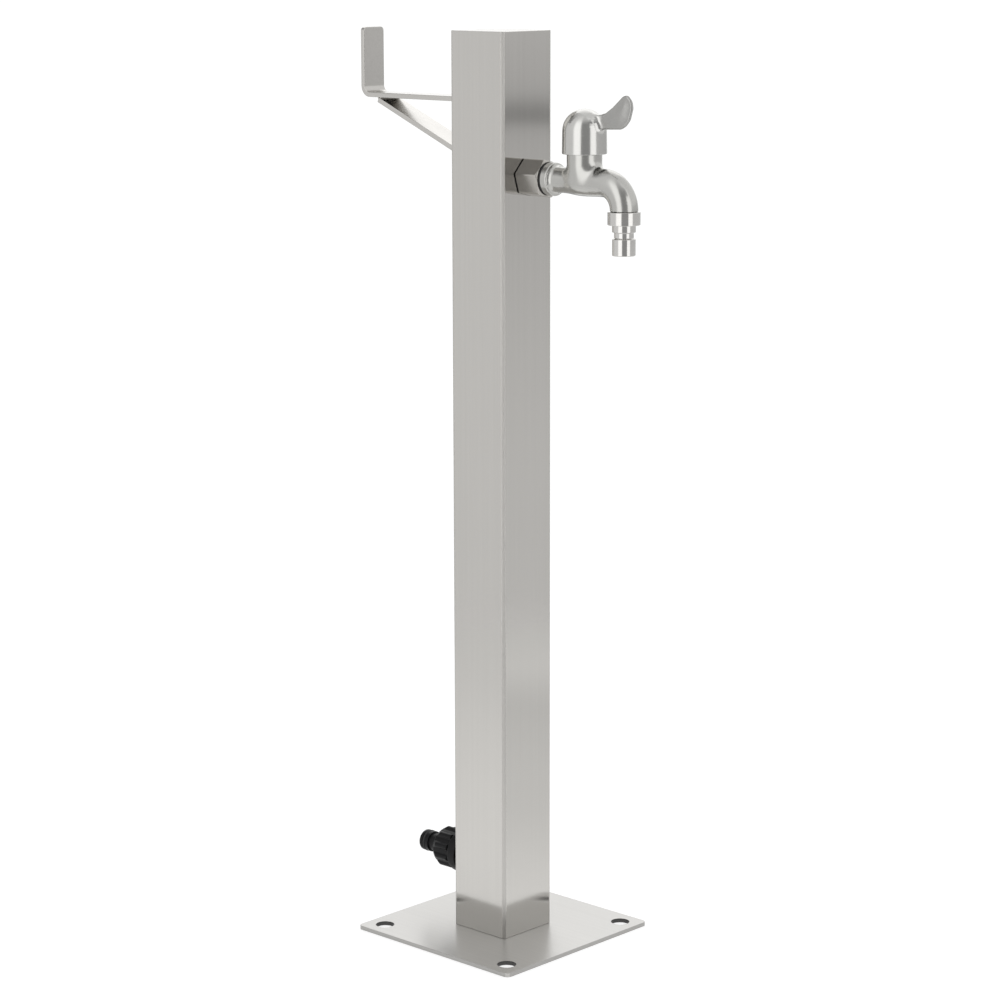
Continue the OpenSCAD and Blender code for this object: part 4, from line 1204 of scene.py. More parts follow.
@dataclass
class PostAssembly:
    """Base plate, post, cap and hose hook, all welded together."""

    maker: Maker
    plate_w: float = 150.0
    plate_t: float = 3.0
    plate_corner_r: float = 4.0
    plate_edge: float = 0.3
    bolt_at: float = 61.0
    bolt_hole_r: float = 6.5
    access_r: float = 20.0
    height: float = 650.0
    post_w: float = 2 * POST_HALF
    wall: float = 1.5
    corner_r: float = 2.5
    corner_steps: int = 8
    rim_edge: float = 0.35
    inner_edge: float = 0.15
    cap_t: float = 2.0
    cap_gap: float = 0.05
    cap_edge: float = 0.12
    pipe_hole_r: float = 10.75
    hole_steps: int = 64
    hook_w: float = 20.0
    bar_t: float = 3.5
    bar_edge: float = 0.5
    end_edge: float = 0.45
    hook_reach: float = 104.0
    hook_h: float = 49.7
    bend_r: float = 4.5
    bend_steps: int = 12
    tip_r: float = 3.0
    brace_reach: float = 86.3
    brace_drop: float = 36.3
    brace_edge: float = 0.4
    ripple: float = 1.5

    def build(self) -> None:
        """Make every piece of the assembly."""
        self.plate()
        self.post()
        self.cap()
        self.hook()
        self.brace()

    def plate(self) -> None:
        """Square base plate with its four anchor holes and the access hole."""
        loops = [lambda off: rounded_square(self.plate_w - 2 * off, self.plate_corner_r - off, 8)]
        for x in (-1, 1):
            for y in (-1, 1):
                centre = (x * self.bolt_at, y * self.bolt_at)
                loops.append(lambda off, c=centre: circle(self.bolt_hole_r + off, 48, c))
        loops.append(lambda off: circle(self.access_r + off, 64))
        skin = slab(loops, 0.0, self.plate_t, self.plate_edge)
        self.maker.piece("base_plate_steel", skin, PLATE_STEEL, "base_plate")

    def tube_end(self, inner: bool, bottom: bool) -> list[np.ndarray]:
        """Rounded edge at one end of the post, from the side to the end face.

        Args:
            inner: Whether it is the edge inside the tube.
            bottom: Whether it is at the foot.

        Returns:
            The loops of points.
        """
        width, radius, way, edge = self.post_w, self.corner_r, -1, self.rim_edge
        if inner:
            width, radius, way, edge = width - 2 * self.wall, radius - self.wall, 1, self.inner_edge
        rows = []
        for off, depth in bevel_steps(edge)[::-1]:
            flat = rounded_square(width + 2 * way * off, radius + way * off, self.corner_steps)
            z = self.plate_t + depth if bottom else self.height - depth
            rows.append(np.c_[flat, np.full(len(flat), z)])
        return rows

    def post(self) -> None:
        """Square tube with rounded corners and edges, and its two pipe holes."""
        skin = Skin()
        sides = (False, True)
        ends = {(inner, bottom): self.tube_end(inner, bottom) for inner in sides for bottom in sides}
        for rows in ends.values():
            skin.grid(np.array(rows), False)
        for bottom in sides:
            skin.grid(np.array([ends[False, bottom][-1], ends[True, bottom][-1]]), False)
        # Corners after which a side with a pipe hole comes, and the height of the hole
        pipe_sides = {1: TAP_Z, 3: INLET_Z}
        holes: dict[tuple[int, bool], np.ndarray] = {}
        for inner in sides:
            top, foot = ends[inner, False][0], ends[inner, True][0]
            for i in range(len(top)):
                j = (i + 1) % len(top)
                corner, within = divmod(i + 1, self.corner_steps + 1)
                wall = np.array([foot[i], foot[j], top[j], top[i]])
                if within or corner not in pipe_sides:
                    skin.add(wall, [(0, 1, 2, 3)])
                    continue
                flat = circle(self.pipe_hole_r, self.hole_steps, (0.0, pipe_sides[corner]))
                hole = np.c_[flat[:, 0], np.full(len(flat), foot[i][1]), flat[:, 1]]
                holes[corner, inner] = hole
                filled(skin, [wall, hole])
        for corner in pipe_sides:
            skin.grid(np.array([holes[corner, False], holes[corner, True]]), False)
        self.maker.piece("post_tube_steel", skin, POST_STEEL, "post_tube")

    def cap(self) -> None:
        """Plate that closes the top of the post, flush with its rim."""
        width = self.post_w - 2 * self.wall - 2 * self.cap_gap
        radius = self.corner_r - self.wall
        loops = [lambda off: rounded_square(width - 2 * off, radius - off)]
        skin = slab(loops, self.height - self.cap_t, self.height, self.cap_edge)
        self.maker.piece("top_cap_steel", skin, CAP_STEEL, "top_cap")

    def weld(self, name: str, side: float, y: float, z: float, radius: float) -> None:
        """Weld bead across the width of the bar.

        Args:
            name: Name of the piece.
            side: How far it reaches to each side.
            y: Distance from the post's axis.
            z: Height.
            radius: Radius of the bead.
        """
        self.maker.piece(name, bead((-side, y, z), (side, y, z), radius, self.ripple), WELD_STEEL)

    def hook(self) -> None:
        """Flat bar bent up at its end, with rounded edges and rounded top corners."""
        half_w, half_t = self.hook_w / 2, self.bar_t / 2
        base_y = self.post_w / 2
        under = self.height - self.hook_h
        mid_r = self.bend_r + half_t
        bend_y = base_y + self.hook_reach - self.bar_t - self.bend_r
        bend_z = under + self.bar_t + self.bend_r
        quarter = [math.pi / 2 * k / self.bend_steps for k in range(1, self.bend_steps + 1)]
        stations = [(y, under + half_t, 0.0, half_w, half_t) for y in np.linspace(base_y, bend_y, 12)]
        stations += [
            (bend_y + mid_r * math.sin(a), bend_z - mid_r * math.cos(a), a, half_w, half_t)
            for a in quarter
        ]
        up_y = bend_y + mid_r
        heights = np.linspace(bend_z, self.height - self.tip_r, 7)[1:]
        stations += [(up_y, z, math.pi / 2, half_w, half_t) for z in heights]
        for a in quarter:
            z = self.height - self.tip_r + self.tip_r * math.sin(a)
            width = half_w - self.tip_r * (1 - math.cos(a))
            into = max(z - (self.height - self.end_edge), 0.0)
            shrink = self.end_edge - math.sqrt(max(self.end_edge**2 - into**2, 0.0))
            stations.append((up_y, z, math.pi / 2, width, half_t - shrink * 0.9))
        rows = []
        for y, z, a, width, thick in stations:
            corners = [(-width, -thick), (width, -thick), (width, thick), (-width, thick)]
            section = fillet(corners, min(self.bar_edge, thick * 0.9))
            across = np.outer(section[:, 0], [1.0, 0, 0])
            rise = np.outer(section[:, 1], [0.0, -math.sin(a), math.cos(a)])
            rows.append(np.array([0.0, y, z]) + across + rise)
        skin = Skin().grid(np.array(rows), False, True)
        self.maker.piece("hook_bar_steel", skin, BAR_STEEL, "hook_bar")
        for name, z in (("hook_weld_upper", under + self.bar_t), ("hook_weld_lower", under)):
            self.weld(name, half_w - 0.4, base_y + 0.2, z, 0.9)

    def brace(self) -> None:
        """Flat strut between the arm and the post, with its welds."""
        under = self.height - self.hook_h
        base_y = self.post_w / 2
        slope = math.atan2(self.brace_drop, self.brace_reach)
        tip = np.array([base_y + self.brace_reach, under])
        upper_z = under - self.brace_drop
        lower_z = upper_z - self.bar_t / math.cos(slope)
        thick = self.bar_t * np.array([math.sin(slope), -math.cos(slope)])
        outline = np.array([tip, [base_y, upper_z], [base_y, lower_z], tip + thick])
        skin = slab(
            [lambda off: inset(outline, off)], -self.hook_w / 2, self.hook_w / 2, self.brace_edge,
            lambda points: points[..., [2, 0, 1]],
        )
        self.maker.piece("hook_brace_steel", skin, BAR_STEEL, "hook_brace")
        for name, y, z, radius in (
            ("brace_weld_tip", tip[0] + 0.6, under - 0.5, 1.1),
            ("brace_weld_inside", tip[0] - 1.2, under - 0.1, 0.8),
            ("brace_weld_upper", base_y + 0.2, upper_z - 0.1, 0.9),
            ("brace_weld_lower", base_y + 0.2, lower_z, 0.9),
        ):
            self.weld(name, self.hook_w / 2 - 0.5, y, z, radius)


@dataclass
class TapAssembly:
    """Wall socket, gaskets, tap casting and lever handle."""

    maker: Maker
    wall_gasket_r: float = 11.6
    wall_gasket_t: float = 0.8
    socket_af: float = 24.0
    socket_end: float = 20.0
    socket_chamfer: float = 1.3
    socket_turn: float = 77.0
    tap_gasket_r: float = 11.3
    collar_start: float = 21.5
    collar_r: float = 11.5
    bend_y: float = -95.3
    bend_z: float = -18.0
    bend_r: float = 18.0
    spout_r: float = 9.6
    spout_bore_r: float = 6.0
    neck_top: float = 21.0
    neck_blend: float = 5.5
    rim_z: float = 18.7
    rim_r: float = 15.4
    shoulder_z: float = 34.1
    dome_r: float = 15.2
    dome_wall: float = 1.7
    leaf_half: float = 1.3
    leaf_swell: float = 0.9
    leaf_blend: float = 4.0
    boss_r: float = 6.5

    def build(self) -> None:
        """Make every visible piece of the tap."""
        self.socket()
        self.body()
        self.handle()

    def socket(self) -> None:
        """Hexagon socket on the post, with a gasket at each end."""
        gasket = ring_outline(PIPE_R, self.wall_gasket_r, 0, self.wall_gasket_t, 0.2)
        self.maker.piece("wall_gasket_rubber", lathe(FRONT, gasket), RUBBER, "wall_gasket")
        socket = Hexagon(
            self.socket_af, self.wall_gasket_t, self.socket_end, self.socket_chamfer, self.socket_turn,
            low_cut=False,
        )
        self.maker.piece("wall_socket_steel", socket.skin(FRONT, PIPE_R), SOCKET_STEEL, "wall_socket")
        gasket = ring_outline(PIPE_R, self.tap_gasket_r, self.socket_end, self.collar_start, 0.3)
        self.maker.piece("tap_gasket_rubber", lathe(FRONT, gasket), RUBBER, "tap_gasket")

    def spout(self, p: np.ndarray, radius: float, lead: float) -> np.ndarray:
        """Distance from the spout's bend and a straight lead before it.

        Args:
            p: Points in the frame of the tap's axis.
            radius: Radius of the tube.
            lead: Length of the lead.

        Returns:
            The distances.
        """
        y, z = p[:, 1] - self.bend_y, p[:, 2] - self.bend_z
        from_ring = np.hypot(np.hypot(y, z) - self.bend_r, p[:, 0]) - radius
        ring = np.maximum(from_ring, np.maximum(y, -z))
        straight = np.hypot(p[:, 0], z - self.bend_r) - radius
        straight = np.maximum(straight, np.maximum(-y, y - lead))
        return np.minimum(ring, straight)

    def waterway(self, p: np.ndarray, q: np.ndarray) -> np.ndarray:
        """Distance from the bores, the seat and the cartridge's chamber inside the casting.

        Args:
            p: Points in the frame of the tap's axis.
            q: The same points about the bonnet's axis.

        Returns:
            The distances.
        """
        fall = math.radians(50)
        start = np.array([0.0, -5.4, 9.0])
        end = start + 11 * np.array([0.0, -math.cos(fall), -math.sin(fall)])
        return union(
            rod(p, (0, -30, 0), (0, -82.1, 0), 4.5),
            rod(q, (0, 0, 0), (0, 0, 6.5), 3.3),
            rod(q, (0, 0, 6), (0, 0, 14), 8.0),
            rod(q, (0, 0, 14), (0, 0, 25), 8.9),
            rod(q, start, end, 2.4),
            self.spout(p, self.spout_bore_r, 8.2),
            rod(p, (0, OUTLET_Y, -17.9), (0, OUTLET_Y, -25), self.spout_bore_r),
        )

    def body(self) -> None:
        """Tap casting: collar, shank, belly, neck and bent spout in one."""
        start, collar_r = self.collar_start, self.collar_r
        barrel = [(0, 9.5), (10.4, 9.5), (10.4, start), (11.1, start), (collar_r, 21.9), (collar_r, 26.3)]
        barrel += arc((collar_r, 31.0), (2.6, 4.0), 260, 180, 10)
        barrel += [(8.9 + 1.1 * (1 - math.cos(math.pi * i / 10)) / 2, 36 + 1.66 * i) for i in range(11)]
        barrel += [(10 - 0.4 * (1 - math.cos(math.pi * i / 8)) / 2, 52.6 + 17.7 * i / 8) for i in range(1, 9)]
        barrel += [(9.6, 71.0), (0, 71.0)]
        neck = [(0, -5), (6.5, -5)] + arc((6.5, 14), (5.6, 19), 285, 360, 12)
        neck += [(12.1, 20.5), (11.6, self.neck_top), (0, self.neck_top)]
        barrel_outline, neck_outline = mirrored(barrel), mirrored(neck)

        def solid(p: np.ndarray) -> np.ndarray:
            """Distance from the casting, in the frame of the tap's axis."""
            from_axis = np.hypot(p[:, 0], p[:, 2])
            shape = outline_distance(np.c_[from_axis, -p[:, 1] - POST_HALF], barrel_outline)
            shape = np.minimum(shape, self.spout(p, self.spout_r, 9.0))
            q = p - [0, BONNET_Y, 0]
            column = outline_distance(np.c_[np.hypot(q[:, 0], q[:, 1]), q[:, 2]], neck_outline)
            shape = soft_min(shape, column, self.neck_blend)
            shape = np.maximum(shape, q[:, 2] - self.neck_top)
            shape = np.minimum(shape, rod(p, (0, OUTLET_Y, -17), (0, OUTLET_Y, -22.15), 8.5))
            return np.maximum(shape, -self.waterway(p, q))

        skin, normals = cast(solid, (-13.8, -126, -25), (13.8, -32, 23), 0.45)
        skin.points[0] += [0, 0, TAP_Z]
        self.maker.piece("tap_body_casting", skin, TAP_STEEL, "tap_body", normals=normals)
        thread = thread_skin(
            OUTLET, inner_r=8.3, outer_r=9.0, root_r=8.45, pitch=1.0, start=0.05, end=4.1
        )
        self.maker.piece("tap_outlet_thread", thread, NUT_STEEL, slot=Slot.CAST)

    def handle(self) -> None:
        """Hollow lever handle: domed skirt and upswept leaf in one."""
        rim_z, rim_r, dome_r, wall = self.rim_z, self.rim_r, self.dome_r, self.dome_wall
        outer = [(0, rim_z), (rim_r - 0.4, rim_z), (rim_r - 0.1, rim_z + 0.12), (rim_r, rim_z + 0.45)]
        outer += arc((0, self.shoulder_z), (dome_r, dome_r), 0, 90, 16)
        inner = [(0, rim_z - 2), (rim_r - wall + 0.1, rim_z - 2)]
        inner += arc((0, self.shoulder_z), (dome_r - wall, dome_r - wall), 0, 90, 12)
        outer_outline, inner_outline = mirrored(outer), mirrored(inner)
        low, high = 1.9, 25.5
        leaf_corners = [
            (dome_r - 3.4, low + 0.1), (dome_r - 1.4, low + 0.1), (21, low - 0.1), (33, low + 0.4),
            (37, low + 2.6), (40.6, low + 6.6), (43, low + 14.6), (42.3, low + 19.4), (38.2, high),
            (34.5, high - 1), (31.4, high - 3.6), (25.5, high - 8.6), (19, high - 12.8),
            (dome_r - 2, high - 14.2), (dome_r - 5.5, 10.6), (6.0, 5.0),
        ]
        leaf = fillet(leaf_corners, 6.0, steps=6)

        def solid(p: np.ndarray) -> np.ndarray:
            """Distance from the handle, about the bonnet's axis at the height of the tap's axis."""
            r = np.hypot(p[:, 0], p[:, 1])
            shape = outline_distance(np.c_[r, p[:, 2]], outer_outline)
            inside = -outline_distance(np.c_[-p[:, 1], p[:, 2] - self.shoulder_z], leaf)
            swell = np.clip((inside - self.leaf_half) / 7, 0, 1)
            thick = self.leaf_half + self.leaf_swell * swell * swell * (3 - 2 * swell)
            blade = np.hypot(p[:, 0], np.maximum(self.leaf_half - inside, 0)) - thick
            shape = soft_min(shape, blade, self.leaf_blend)
            shape = np.maximum(shape, rim_z - p[:, 2])
            hollow = outline_distance(np.c_[r, p[:, 2]], inner_outline)
            hollow = np.maximum(hollow, -np.maximum(r - self.boss_r, 28.55 - p[:, 2]))
            square = np.maximum(np.abs(p[:, 0]), np.abs(p[:, 1])) - 2.4
            square = np.maximum(square, np.maximum(28.5 - p[:, 2], p[:, 2] - 40.5))
            grub_hole = rod(p, (0, 0, 31.55), (0, 30, 31.55), 2.05)
            return np.maximum(shape, -union(hollow, square, grub_hole))

        skin, normals = cast(solid, (-16, -44.5, 17.8), (16, 16, 60.6), 0.42)
        skin.points[0] += [0, BONNET_Y, TAP_Z]
        self.maker.piece(
            "lever_handle_casting", skin, HANDLE_STEEL, "lever_handle", body=Body.HANDLE, normals=normals
        )


@dataclass
class HoseUnion:
    """Round nut, nipple and washer under the spout."""

    maker: Maker
    bore_r: float = 4.8
    barb_r: float = 8.0
    flange_r: float = 9.0
    nut_r: float = 11.2

    def build(self) -> None:
        """Make the pieces of the union."""
        bore_r, barb_r, flange_r = self.bore_r, self.barb_r, self.flange_r
        nut = fillet(
            [(9.05, 0.3), (self.nut_r, 0.3), (self.nut_r, 9.2), (8.15, 9.2), (8.15, 7.7), (9.05, 7.7, 0.1)],
            0.4,
        )
        self.maker.piece("hose_nut_steel", lathe(OUTLET, nut), NUT_STEEL, "hose_nut", body=Body.OUTLET_NUT)
        nipple = fillet(
            [
                (bore_r, 5.65), (flange_r, 5.65, 0.2), (flange_r, 7.65, 0.2), (8.1, 7.65, 0),
                (8.1, 14.2, 0.5), (6.75, 14.2, 0.5), (6.75, 17.8, 0.3), (barb_r, 18.8, 0.4),
                (barb_r, 30.0, 0.6), (bore_r, 30.0, 0.4),
            ],
            0.4,
        )
        self.maker.piece(
            "hose_nipple_steel", lathe(OUTLET, nipple), NUT_STEEL, "hose_nipple", body=Body.OUTLET
        )
        washer = ring_outline(bore_r, 8.9, 4.15, 5.65, 0.2)
        self.maker.piece(
            "nipple_washer_rubber", lathe(OUTLET, washer), RUBBER, "nipple_washer", body=Body.OUTLET
        )


@dataclass
class InletFitting:
    """Gasket, lock nut and hose adaptor low on the back of the post; the threaded elbow is made with the
    supply line.
    """

    maker: Maker
    gasket_r: float = 14.0
    gasket_t: float = 1.5
    nut_af: float = 27.0
    nut_end: float = 7.0
    ribs: int = 10
    rib_r: float = 2.4
    rib_tip_r: float = 15.2
    flange_r: float = 15.8
    core_r: float = 13.3
    grip_start: float = 18.3
    grip_end: float = 34.0
    nose_r: float = 7.7
    nose_bore_r: float = 4.6
    nose_end: float = 53.5

    def build(self) -> None:
        """Make the visible pieces of the inlet."""
        gasket = ring_outline(PIPE_R, self.gasket_r, 0, self.gasket_t, 0.3)
        self.maker.piece("inlet_gasket_rubber", lathe(BACK, gasket), RUBBER, "inlet_gasket")
        nut = Hexagon(self.nut_af, self.gasket_t, self.nut_end, depth=1.0, turn=90.0)
        self.maker.piece("inlet_lock_nut_brass", nut.skin(BACK, PIPE_R), BRASS_LYING, "inlet_lock_nut")
        self.adaptor()
        ring = lathe(BACK, circle(1.0, 20, (6.95, 49.15)), 72)
        self.maker.piece("nose_ring_rubber", ring, RUBBER, "nose_ring", body=Body.INLET_FITTING)

    def ribbed(self, radius: np.ndarray, angle: np.ndarray, height: np.ndarray) -> np.ndarray:
        """Radii of the adaptor with the round ribs of its grip."""
        pitch = math.tau / self.ribs
        phi = (angle - math.pi / 2 + pitch / 2) % pitch - pitch / 2
        centre_r = self.rib_tip_r - self.rib_r
        under = self.rib_r**2 - (centre_r * np.sin(phi)) ** 2
        rib = np.where(under > 0, centre_r * np.cos(phi) + np.sqrt(np.maximum(under, 0)), 0.0)
        low_cut = self.rib_tip_r - 1.0 + (height - self.grip_start)
        high_cut = self.core_r - 0.3 + (self.grip_end - 0.6 - height) * 0.7
        rib = np.minimum(rib, soft_min(low_cut, high_cut, 0.3))
        inside = (height > self.grip_start + 0.02) & (height < self.grip_end - 0.55) & (radius > 12.5)
        return np.where(inside, soft_max(radius, rib, 0.5), radius)

    def adaptor(self) -> None:
        """Black click-fit adaptor with flange, ribbed grip, shoulder and nose."""
        flange_r, core_r, grip_start, grip_end = self.flange_r, self.core_r, self.grip_start, self.grip_end
        nose_r, bore_r, nose_end = self.nose_r, self.nose_bore_r, self.nose_end
        outline: list[Sequence[float]] = [
            (PIPE_R, 9.5), (flange_r, 9.5, 0.8), (flange_r, 17.0, 1.0), (13.5, 17.0, 0.25),
            (13.5, grip_start, 0.1), (core_r, grip_start + 0.01, 0.0),
        ]
        outline += [(core_r, h, 0.0) for h in np.linspace(18.6, 33.2, 26)]
        outline += [(12.9, 33.8, 0.0), (12.1, grip_end, 0.3), (10.0, grip_end, 0.4)]
        outline += arc((11.0, 41.0), (3.3, 7.0), 262, 180, 10)
        outline += [
            (nose_r, 41.0, 0.25), (6.5, 41.0, 0.3), (6.5, 44.8, 0.3), (nose_r, 44.8, 0.3),
            (nose_r, 48.0, 0.15), (5.93, 48.0, 0.1), (5.93, 50.3, 0.1), (nose_r, 50.3, 0.15),
            (nose_r, nose_end, 0.9), (bore_r, nose_end, 0.4), (bore_r, 21.0, 0.1), (PIPE_R, 21.0, 0.1),
        ]
        skin = lathe(BACK, fillet(outline, 0.2), 240, self.ribbed)
        self.maker.piece(
            "inlet_adaptor_plastic", skin, PLASTIC, "inlet_adaptor", body=Body.INLET_FITTING
        )


@dataclass
class SupplyLine:
    """Threaded brass elbows and the braided hose between them."""

    maker: Maker
    pitch: float = 1.814
    thread_r: float = 10.45
    root_r: float = 9.35
    liner_r: float = 6.0
    liner_bore_r: float = 4.0
    hose_low: float = 85.0
    hose_high: float = 515.0
    braid_in_r: float = 6.06
    braid_r: float = 6.2
    braid_relief: float = 0.53
    strands: int = 12
    braid_pitch: float = 34.0

    def build(self) -> None:
        """Make the elbows and the hose."""
        body, normals = self.elbow_body()
        self.elbow("top_elbow", TAP_Z, -1.0, 33.0, body, normals)
        self.elbow("inlet_elbow", INLET_Z, 1.0, 44.5, body, normals)
        liner = ring_outline(self.liner_bore_r, self.liner_r, self.hose_low, self.hose_high, 0.2)
        self.maker.piece("hose_liner_rubber", lathe(UPRIGHT, liner, 48), RUBBER, "hose_liner")
        self.maker.piece("hose_braid_wires", self.braid(), BRAID, "hose_braid")

    def elbow_body(self) -> tuple[Skin, np.ndarray]:
        """Knee, shoulder and waterway of an elbow, with its legs along -Y and down."""

        def solid(p: np.ndarray) -> np.ndarray:
            """Distance from the elbow without its threads."""
            knee = np.linalg.norm(p, axis=1)
            shape = soft_min(knee - 12.25, rod(p, (0, 0, 0), (0, -21.5, 0), 11.25), 0.8)
            shape = np.minimum(shape, rod(p, (0, -18, 0), (0, -21.5, 0), 13.5))
            shape = soft_min(shape, rod(p, (0, 0, 0), (0, 0, -16.5), 10.95), 0.8)
            bore = union(
                knee - 7.6, rod(p, (0, 0, 0), (0, -30, 0), 7.0), rod(p, (0, 0, 0), (0, 0, -30), 6.8)
            )
            return np.maximum(shape, -bore)

        return cast(solid, (-14.4, -22.5, -17.5), (14.4, 13.2, 14.4), 0.6)

    def elbow(
        self, node: str, height: float, way: float, reach: float, body: Skin, normals: np.ndarray
    ) -> None:
        """Place one elbow and cut its threads.

        Args:
            node: CAD node that it stands for.
            height: Height of its level leg.
            way: -1 where the level leg points along -Y and the other one down, 1 for the reverse.
            reach: Distance from the post's axis to the end of the level leg.
            body: Skin of the elbow's body about its centre.
            normals: Normals of that skin.
        """
        turn = np.array([1.0, -way, -way])
        skin = Skin().add(body.points[0] * turn + [0, 0, height], body.faces)
        self.maker.piece(f"{node}_brass", skin, BRASS_LYING, node, normals=normals * turn)
        level = Axis((0.0, 0.0, height), (0.0, way, 0.0), (1.0, 0.0, 0.0), (0.0, 0.0, 1.0))
        upright = Axis((0.0, 0.0, height), (0.0, 0.0, way), (1.0, 0.0, 0.0), (0.0, 1.0, 0.0))
        for part, axis, bore_r, start, end in (
            ("level_thread", level, 7.05, 21.2, reach),
            ("hose_thread", upright, 6.85, 16.2, 23.5),
        ):
            thread = thread_skin(axis, bore_r, self.thread_r, self.root_r, self.pitch, start, end)
            self.maker.piece(f"{node}_{part}", thread, BRASS_LYING)

    def braid(self) -> Skin:
        """Sleeve of flat strands that pass over and under each other."""
        low, high = self.hose_low, self.hose_high
        columns = 6 * self.strands
        heights = np.linspace(low, high, int((high - low) / 0.7))
        angle, height = np.meshgrid(np.arange(columns) * math.tau / columns, heights)
        turn = angle * self.strands / math.tau
        climb = height * self.strands / self.braid_pitch
        right, left = np.cos((turn + climb) * math.pi), np.cos((turn - climb) * math.pi)
        weave = right * left * 0.3
        relief = np.maximum(np.abs(right) * (0.7 + weave), np.abs(left) * (0.7 - weave))
        outer = UPRIGHT.place(self.braid_r + self.braid_relief * relief, angle, height)
        inner = UPRIGHT.place(np.full((2, columns), self.braid_in_r), angle[:2], height[[-1, 0]])
        return Skin().grid(np.concatenate([outer, inner]), True)


@dataclass
class HiddenParts:
    """Cartridge and hose fittings, whose CAD solids have the right shape."""

    maker: Maker

    def build(self) -> None:
        """Dress every piece that the scene doesn't model anew."""
        upright = ["cartridge_body", "spindle", "upper_hose_tail", "lower_hose_tail"]
        self.maker.dress(BRASS_UPRIGHT, *upright)
        rings = ["cartridge_ring", "seat_seal", "spindle_rings", "top_elbow_washer", "inlet_elbow_washer"]
        rings += ["upper_union_washer", "lower_union_washer", "adaptor_washer"]
        self.maker.dress(RUBBER, *rings)
        self.maker.dress(CERAMIC, "fixed_disc", "moving_disc")
        steel = ["spindle_clip", "upper_union_nut", "lower_union_nut", "upper_ferrule", "lower_ferrule"]
        self.maker.dress(NUT_STEEL, *steel)
        self.maker.dress(SCREW_STEEL, "handle_grub_screw")


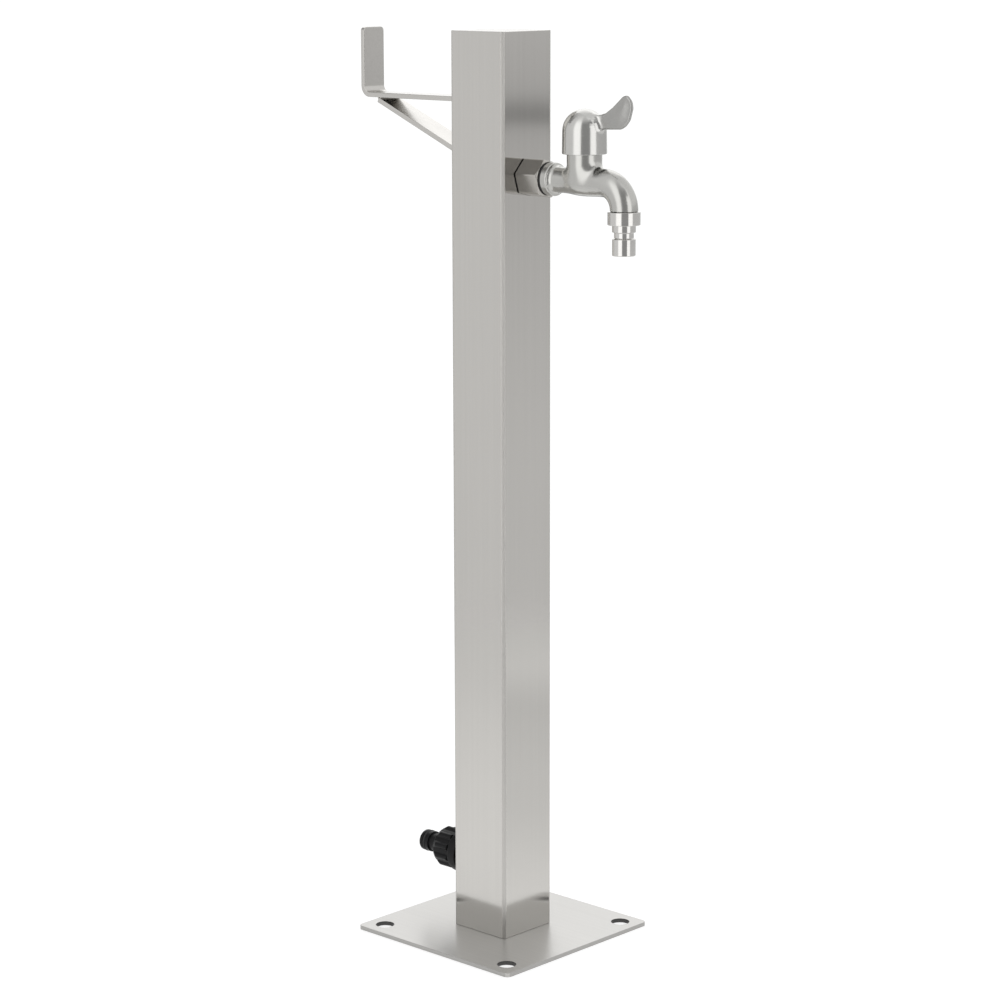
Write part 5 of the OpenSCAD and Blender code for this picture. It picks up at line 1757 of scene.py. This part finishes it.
@dataclass
class Studio:
    """Pale floor, soft surroundings and the camera.

    Ramps hold degrees and levels: surroundings by direction, raised the same for what is added above
    the horizon, and front_ramp by the angle below the horizon in front of the tap.
    """

    floor_r: float = 1.2
    lens: float = 105.0
    camera_at: tuple[float, float, float] = (-1.4626, -1.3744, 0.7137)
    yaw: float = 46.58
    pitch: float = 10.96
    roll: float = -0.16
    surroundings: tuple[tuple[float, float], ...] = (
        (-180, 1.6), (-161, 1.6), (-155, 0.37), (-111, 0.37), (-107, 1.55), (-78, 1.55), (-71, 0.72),
        (10, 0.74), (16, 1.0), (30, 1.0), (40, 0.38), (103, 0.38), (112, 0.87), (158, 0.88), (168, 1.6),
        (180, 1.6),
    )
    raised: tuple[tuple[float, float], ...] = (
        (-180, 0.0), (-73, 0.0), (-66, 0.25), (6, 0.25), (14, 0.0), (106, 0.0), (114, 0.04), (156, 0.04),
        (164, 0.0), (180, 0.0),
    )
    front_ramp: tuple[tuple[float, float], ...] = (
        (20.0, 0.86), (14.0, 0.80), (10.0, 0.78), (7.0, 0.72), (3.66, 0.62), (3.6, 0.26),
        (3.38, 0.32), (3.05, 0.62), (1.5, 0.71), (0.0, 0.75),
    )
    ahead: tuple[float, float] = (0.844, -0.537)
    dark_level: float = 0.3
    back_level: float = 1.3
    back_rise: float = 0.45
    top_level: float = 0.9
    seen_level: float = 1.05
    lamp_at: tuple[float, float, float] = (-0.3, -0.5, 2.4)
    lamp_way: tuple[float, float, float] = (0.3, 0.5, -2.1)

    def build(self) -> None:
        """Make the stage."""
        bpy.context.scene.view_settings.view_transform = "Standard"
        self.world()
        self.floor()
        self.lamp()
        self.camera()

    def world(self) -> None:
        """Soft surroundings whose brightness depends on direction, white behind the object."""
        world = bpy.data.worlds.new("studio")
        bpy.context.scene.world = world
        graph = Graph(world)
        x, y, z = graph.parts(graph.vector("NORMALIZE", graph.node("ShaderNodeTexCoord", output="Generated")))
        azimuth = graph.maths("ARCTAN2", y, x) * (1 / math.tau) + 0.5
        # A ramp holds levels up to 1, so they go in halved
        round_about, above = (
            graph.ramp(azimuth, [((a + 180) / 360, level / 2) for a, level in levels]) * 2.0
            for levels in (self.surroundings, self.raised)
        )
        side = round_about + above * z.above(0.14, 0.1)
        down = graph.maths("ARCSINE", z) * (-180 / math.pi)
        span = self.front_ramp[0][0]
        low = graph.ramp(down * (1 / span), [(a / span, level) for a, level in self.front_ramp[::-1]])
        ahead_x, ahead_y = self.ahead
        off_ahead = abs(graph.maths("ARCTAN2", y * ahead_x - x * ahead_y, x * ahead_x + y * ahead_y))
        side = side.toward(low, (1.0 - off_ahead.above(math.radians(45), 0.1)) * down.above(0.0, 0.4))
        left = azimuth.between(0.735, 0.855, 0.03, 0.02) * z.above(0.42, 0.2)
        side = side.toward(self.dark_level, left)
        right = azimuth.between(0.175, 0.265, 0.02) * z.between(0.56, 0.84, 0.06)
        side = side.toward(self.dark_level, right)
        behind = azimuth.between(0.54, 0.71, 0.02) * z.above(0.02, 0.04)
        side = side.toward(self.back_level + z.above(0.5, 0.3) * self.back_rise, behind)
        side = side.toward(self.top_level, z.above(0.82, 0.5))
        level = side.toward(self.seen_level, graph.node("ShaderNodeLightPath", output="Is Camera Ray"))
        shade = graph.node("ShaderNodeBackground", {}, {"Color": (*WHITE, 1), "Strength": level})
        graph.node("ShaderNodeOutputWorld", inputs={"Surface": shade})

    def floor(self) -> None:
        """Round white floor that fades out at its edge and keeps the object's shadow."""
        material = bpy.data.materials.new("studio_floor")
        graph = Graph(material)
        x, y, _ = graph.parts(graph.place())
        distance = (x * x + y * y) ** 0.5
        camera = graph.node("ShaderNodeLightPath", output="Is Camera Ray")
        glossy = camera.beside("Is Glossy Ray")
        seen = graph.maths("MINIMUM", camera + glossy + camera.beside("Is Transmission Ray"), 1.0)
        mottle = graph.noise(graph.place(), 30.0)
        white = graph.tint(mottle, (0.495, 0.495, 0.495), (0.505, 0.505, 0.505))
        matt = graph.node("ShaderNodeBsdfDiffuse", {}, {"Color": white})
        aside = (x - y) * math.sqrt(0.5)
        shaded = distance.above(0.55, 0.7) + aside.between(0.2, 0.72, 0.3, 0.2)
        level = seen * 0.58 - glossy * (shaded * 0.16 + 0.02)
        light = graph.tint(level, BLACK, WHITE)
        glow = graph.node("ShaderNodeEmission", {}, {"Color": light, "Strength": 1.0})
        both = graph.node("ShaderNodeAddShader", {}, {0: matt, 1: glow})
        clear = graph.node("ShaderNodeBsdfTransparent")
        fade = distance.above(self.floor_r * 0.8, self.floor_r * 0.3)
        mixed = graph.node("ShaderNodeMixShader", {}, {0: fade, 1: both, 2: clear})
        graph.node("ShaderNodeOutputMaterial", inputs={"Surface": mixed})
        mesh = bpy.data.meshes.new("studio_floor")
        rim = circle(self.floor_r, 96)
        mesh.from_pydata([(x, y, 0.0) for x, y in rim], [], [list(range(len(rim)))])
        mesh.materials.append(material)
        made = placed("studio_floor", mesh)
        made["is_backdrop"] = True

    def lamp(self) -> None:
        """Large soft lamp above, which polished pieces don't mirror."""
        data = bpy.data.lights.new("softbox", "AREA")
        data.shape = "DISK"
        data.size = 1.6
        data.energy = 6.0
        made = placed("softbox", data)
        made.visible_glossy = False
        made.location = self.lamp_at
        made.rotation_euler = Vector(self.lamp_way).to_track_quat("-Z", "Y").to_euler()

    def camera(self) -> None:
        """Camera at the picture's angle."""
        data = bpy.data.cameras.new("camera")
        data.lens = self.lens
        data.sensor_width = 36.0
        made = placed("camera", data)
        turn = Matrix.Rotation(-math.radians(self.yaw), 4, "Z")
        tilt = Matrix.Rotation(math.radians(90 - self.pitch), 4, "X")
        roll = Matrix.Rotation(math.radians(self.roll), 4, "Z")
        made.matrix_world = Matrix.Translation(self.camera_at) @ turn @ tilt @ roll
        bpy.context.scene.camera = made


def write_sizes() -> None:
    """Gather the CAD box and the visual model's box, in metres."""
    boxes = {"cad": CAD_BOX, "visual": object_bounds()}
    plain = {name: [[float(v) for v in corner] for corner in box] for name, box in boxes.items()}


def main() -> None:
    """Build the standpipe and its stage."""
    logging.basicConfig(level=logging.INFO, format="%(name)s: %(message)s")
    maker = Maker()
    for assembly in (PostAssembly, TapAssembly, HoseUnion, InletFitting, SupplyLine, HiddenParts):
        assembly(maker).build()
    Studio().build()
    write_sizes()
    LOG.info("%d pieces made", maker.made)


if __name__ == "__main__":
    main()
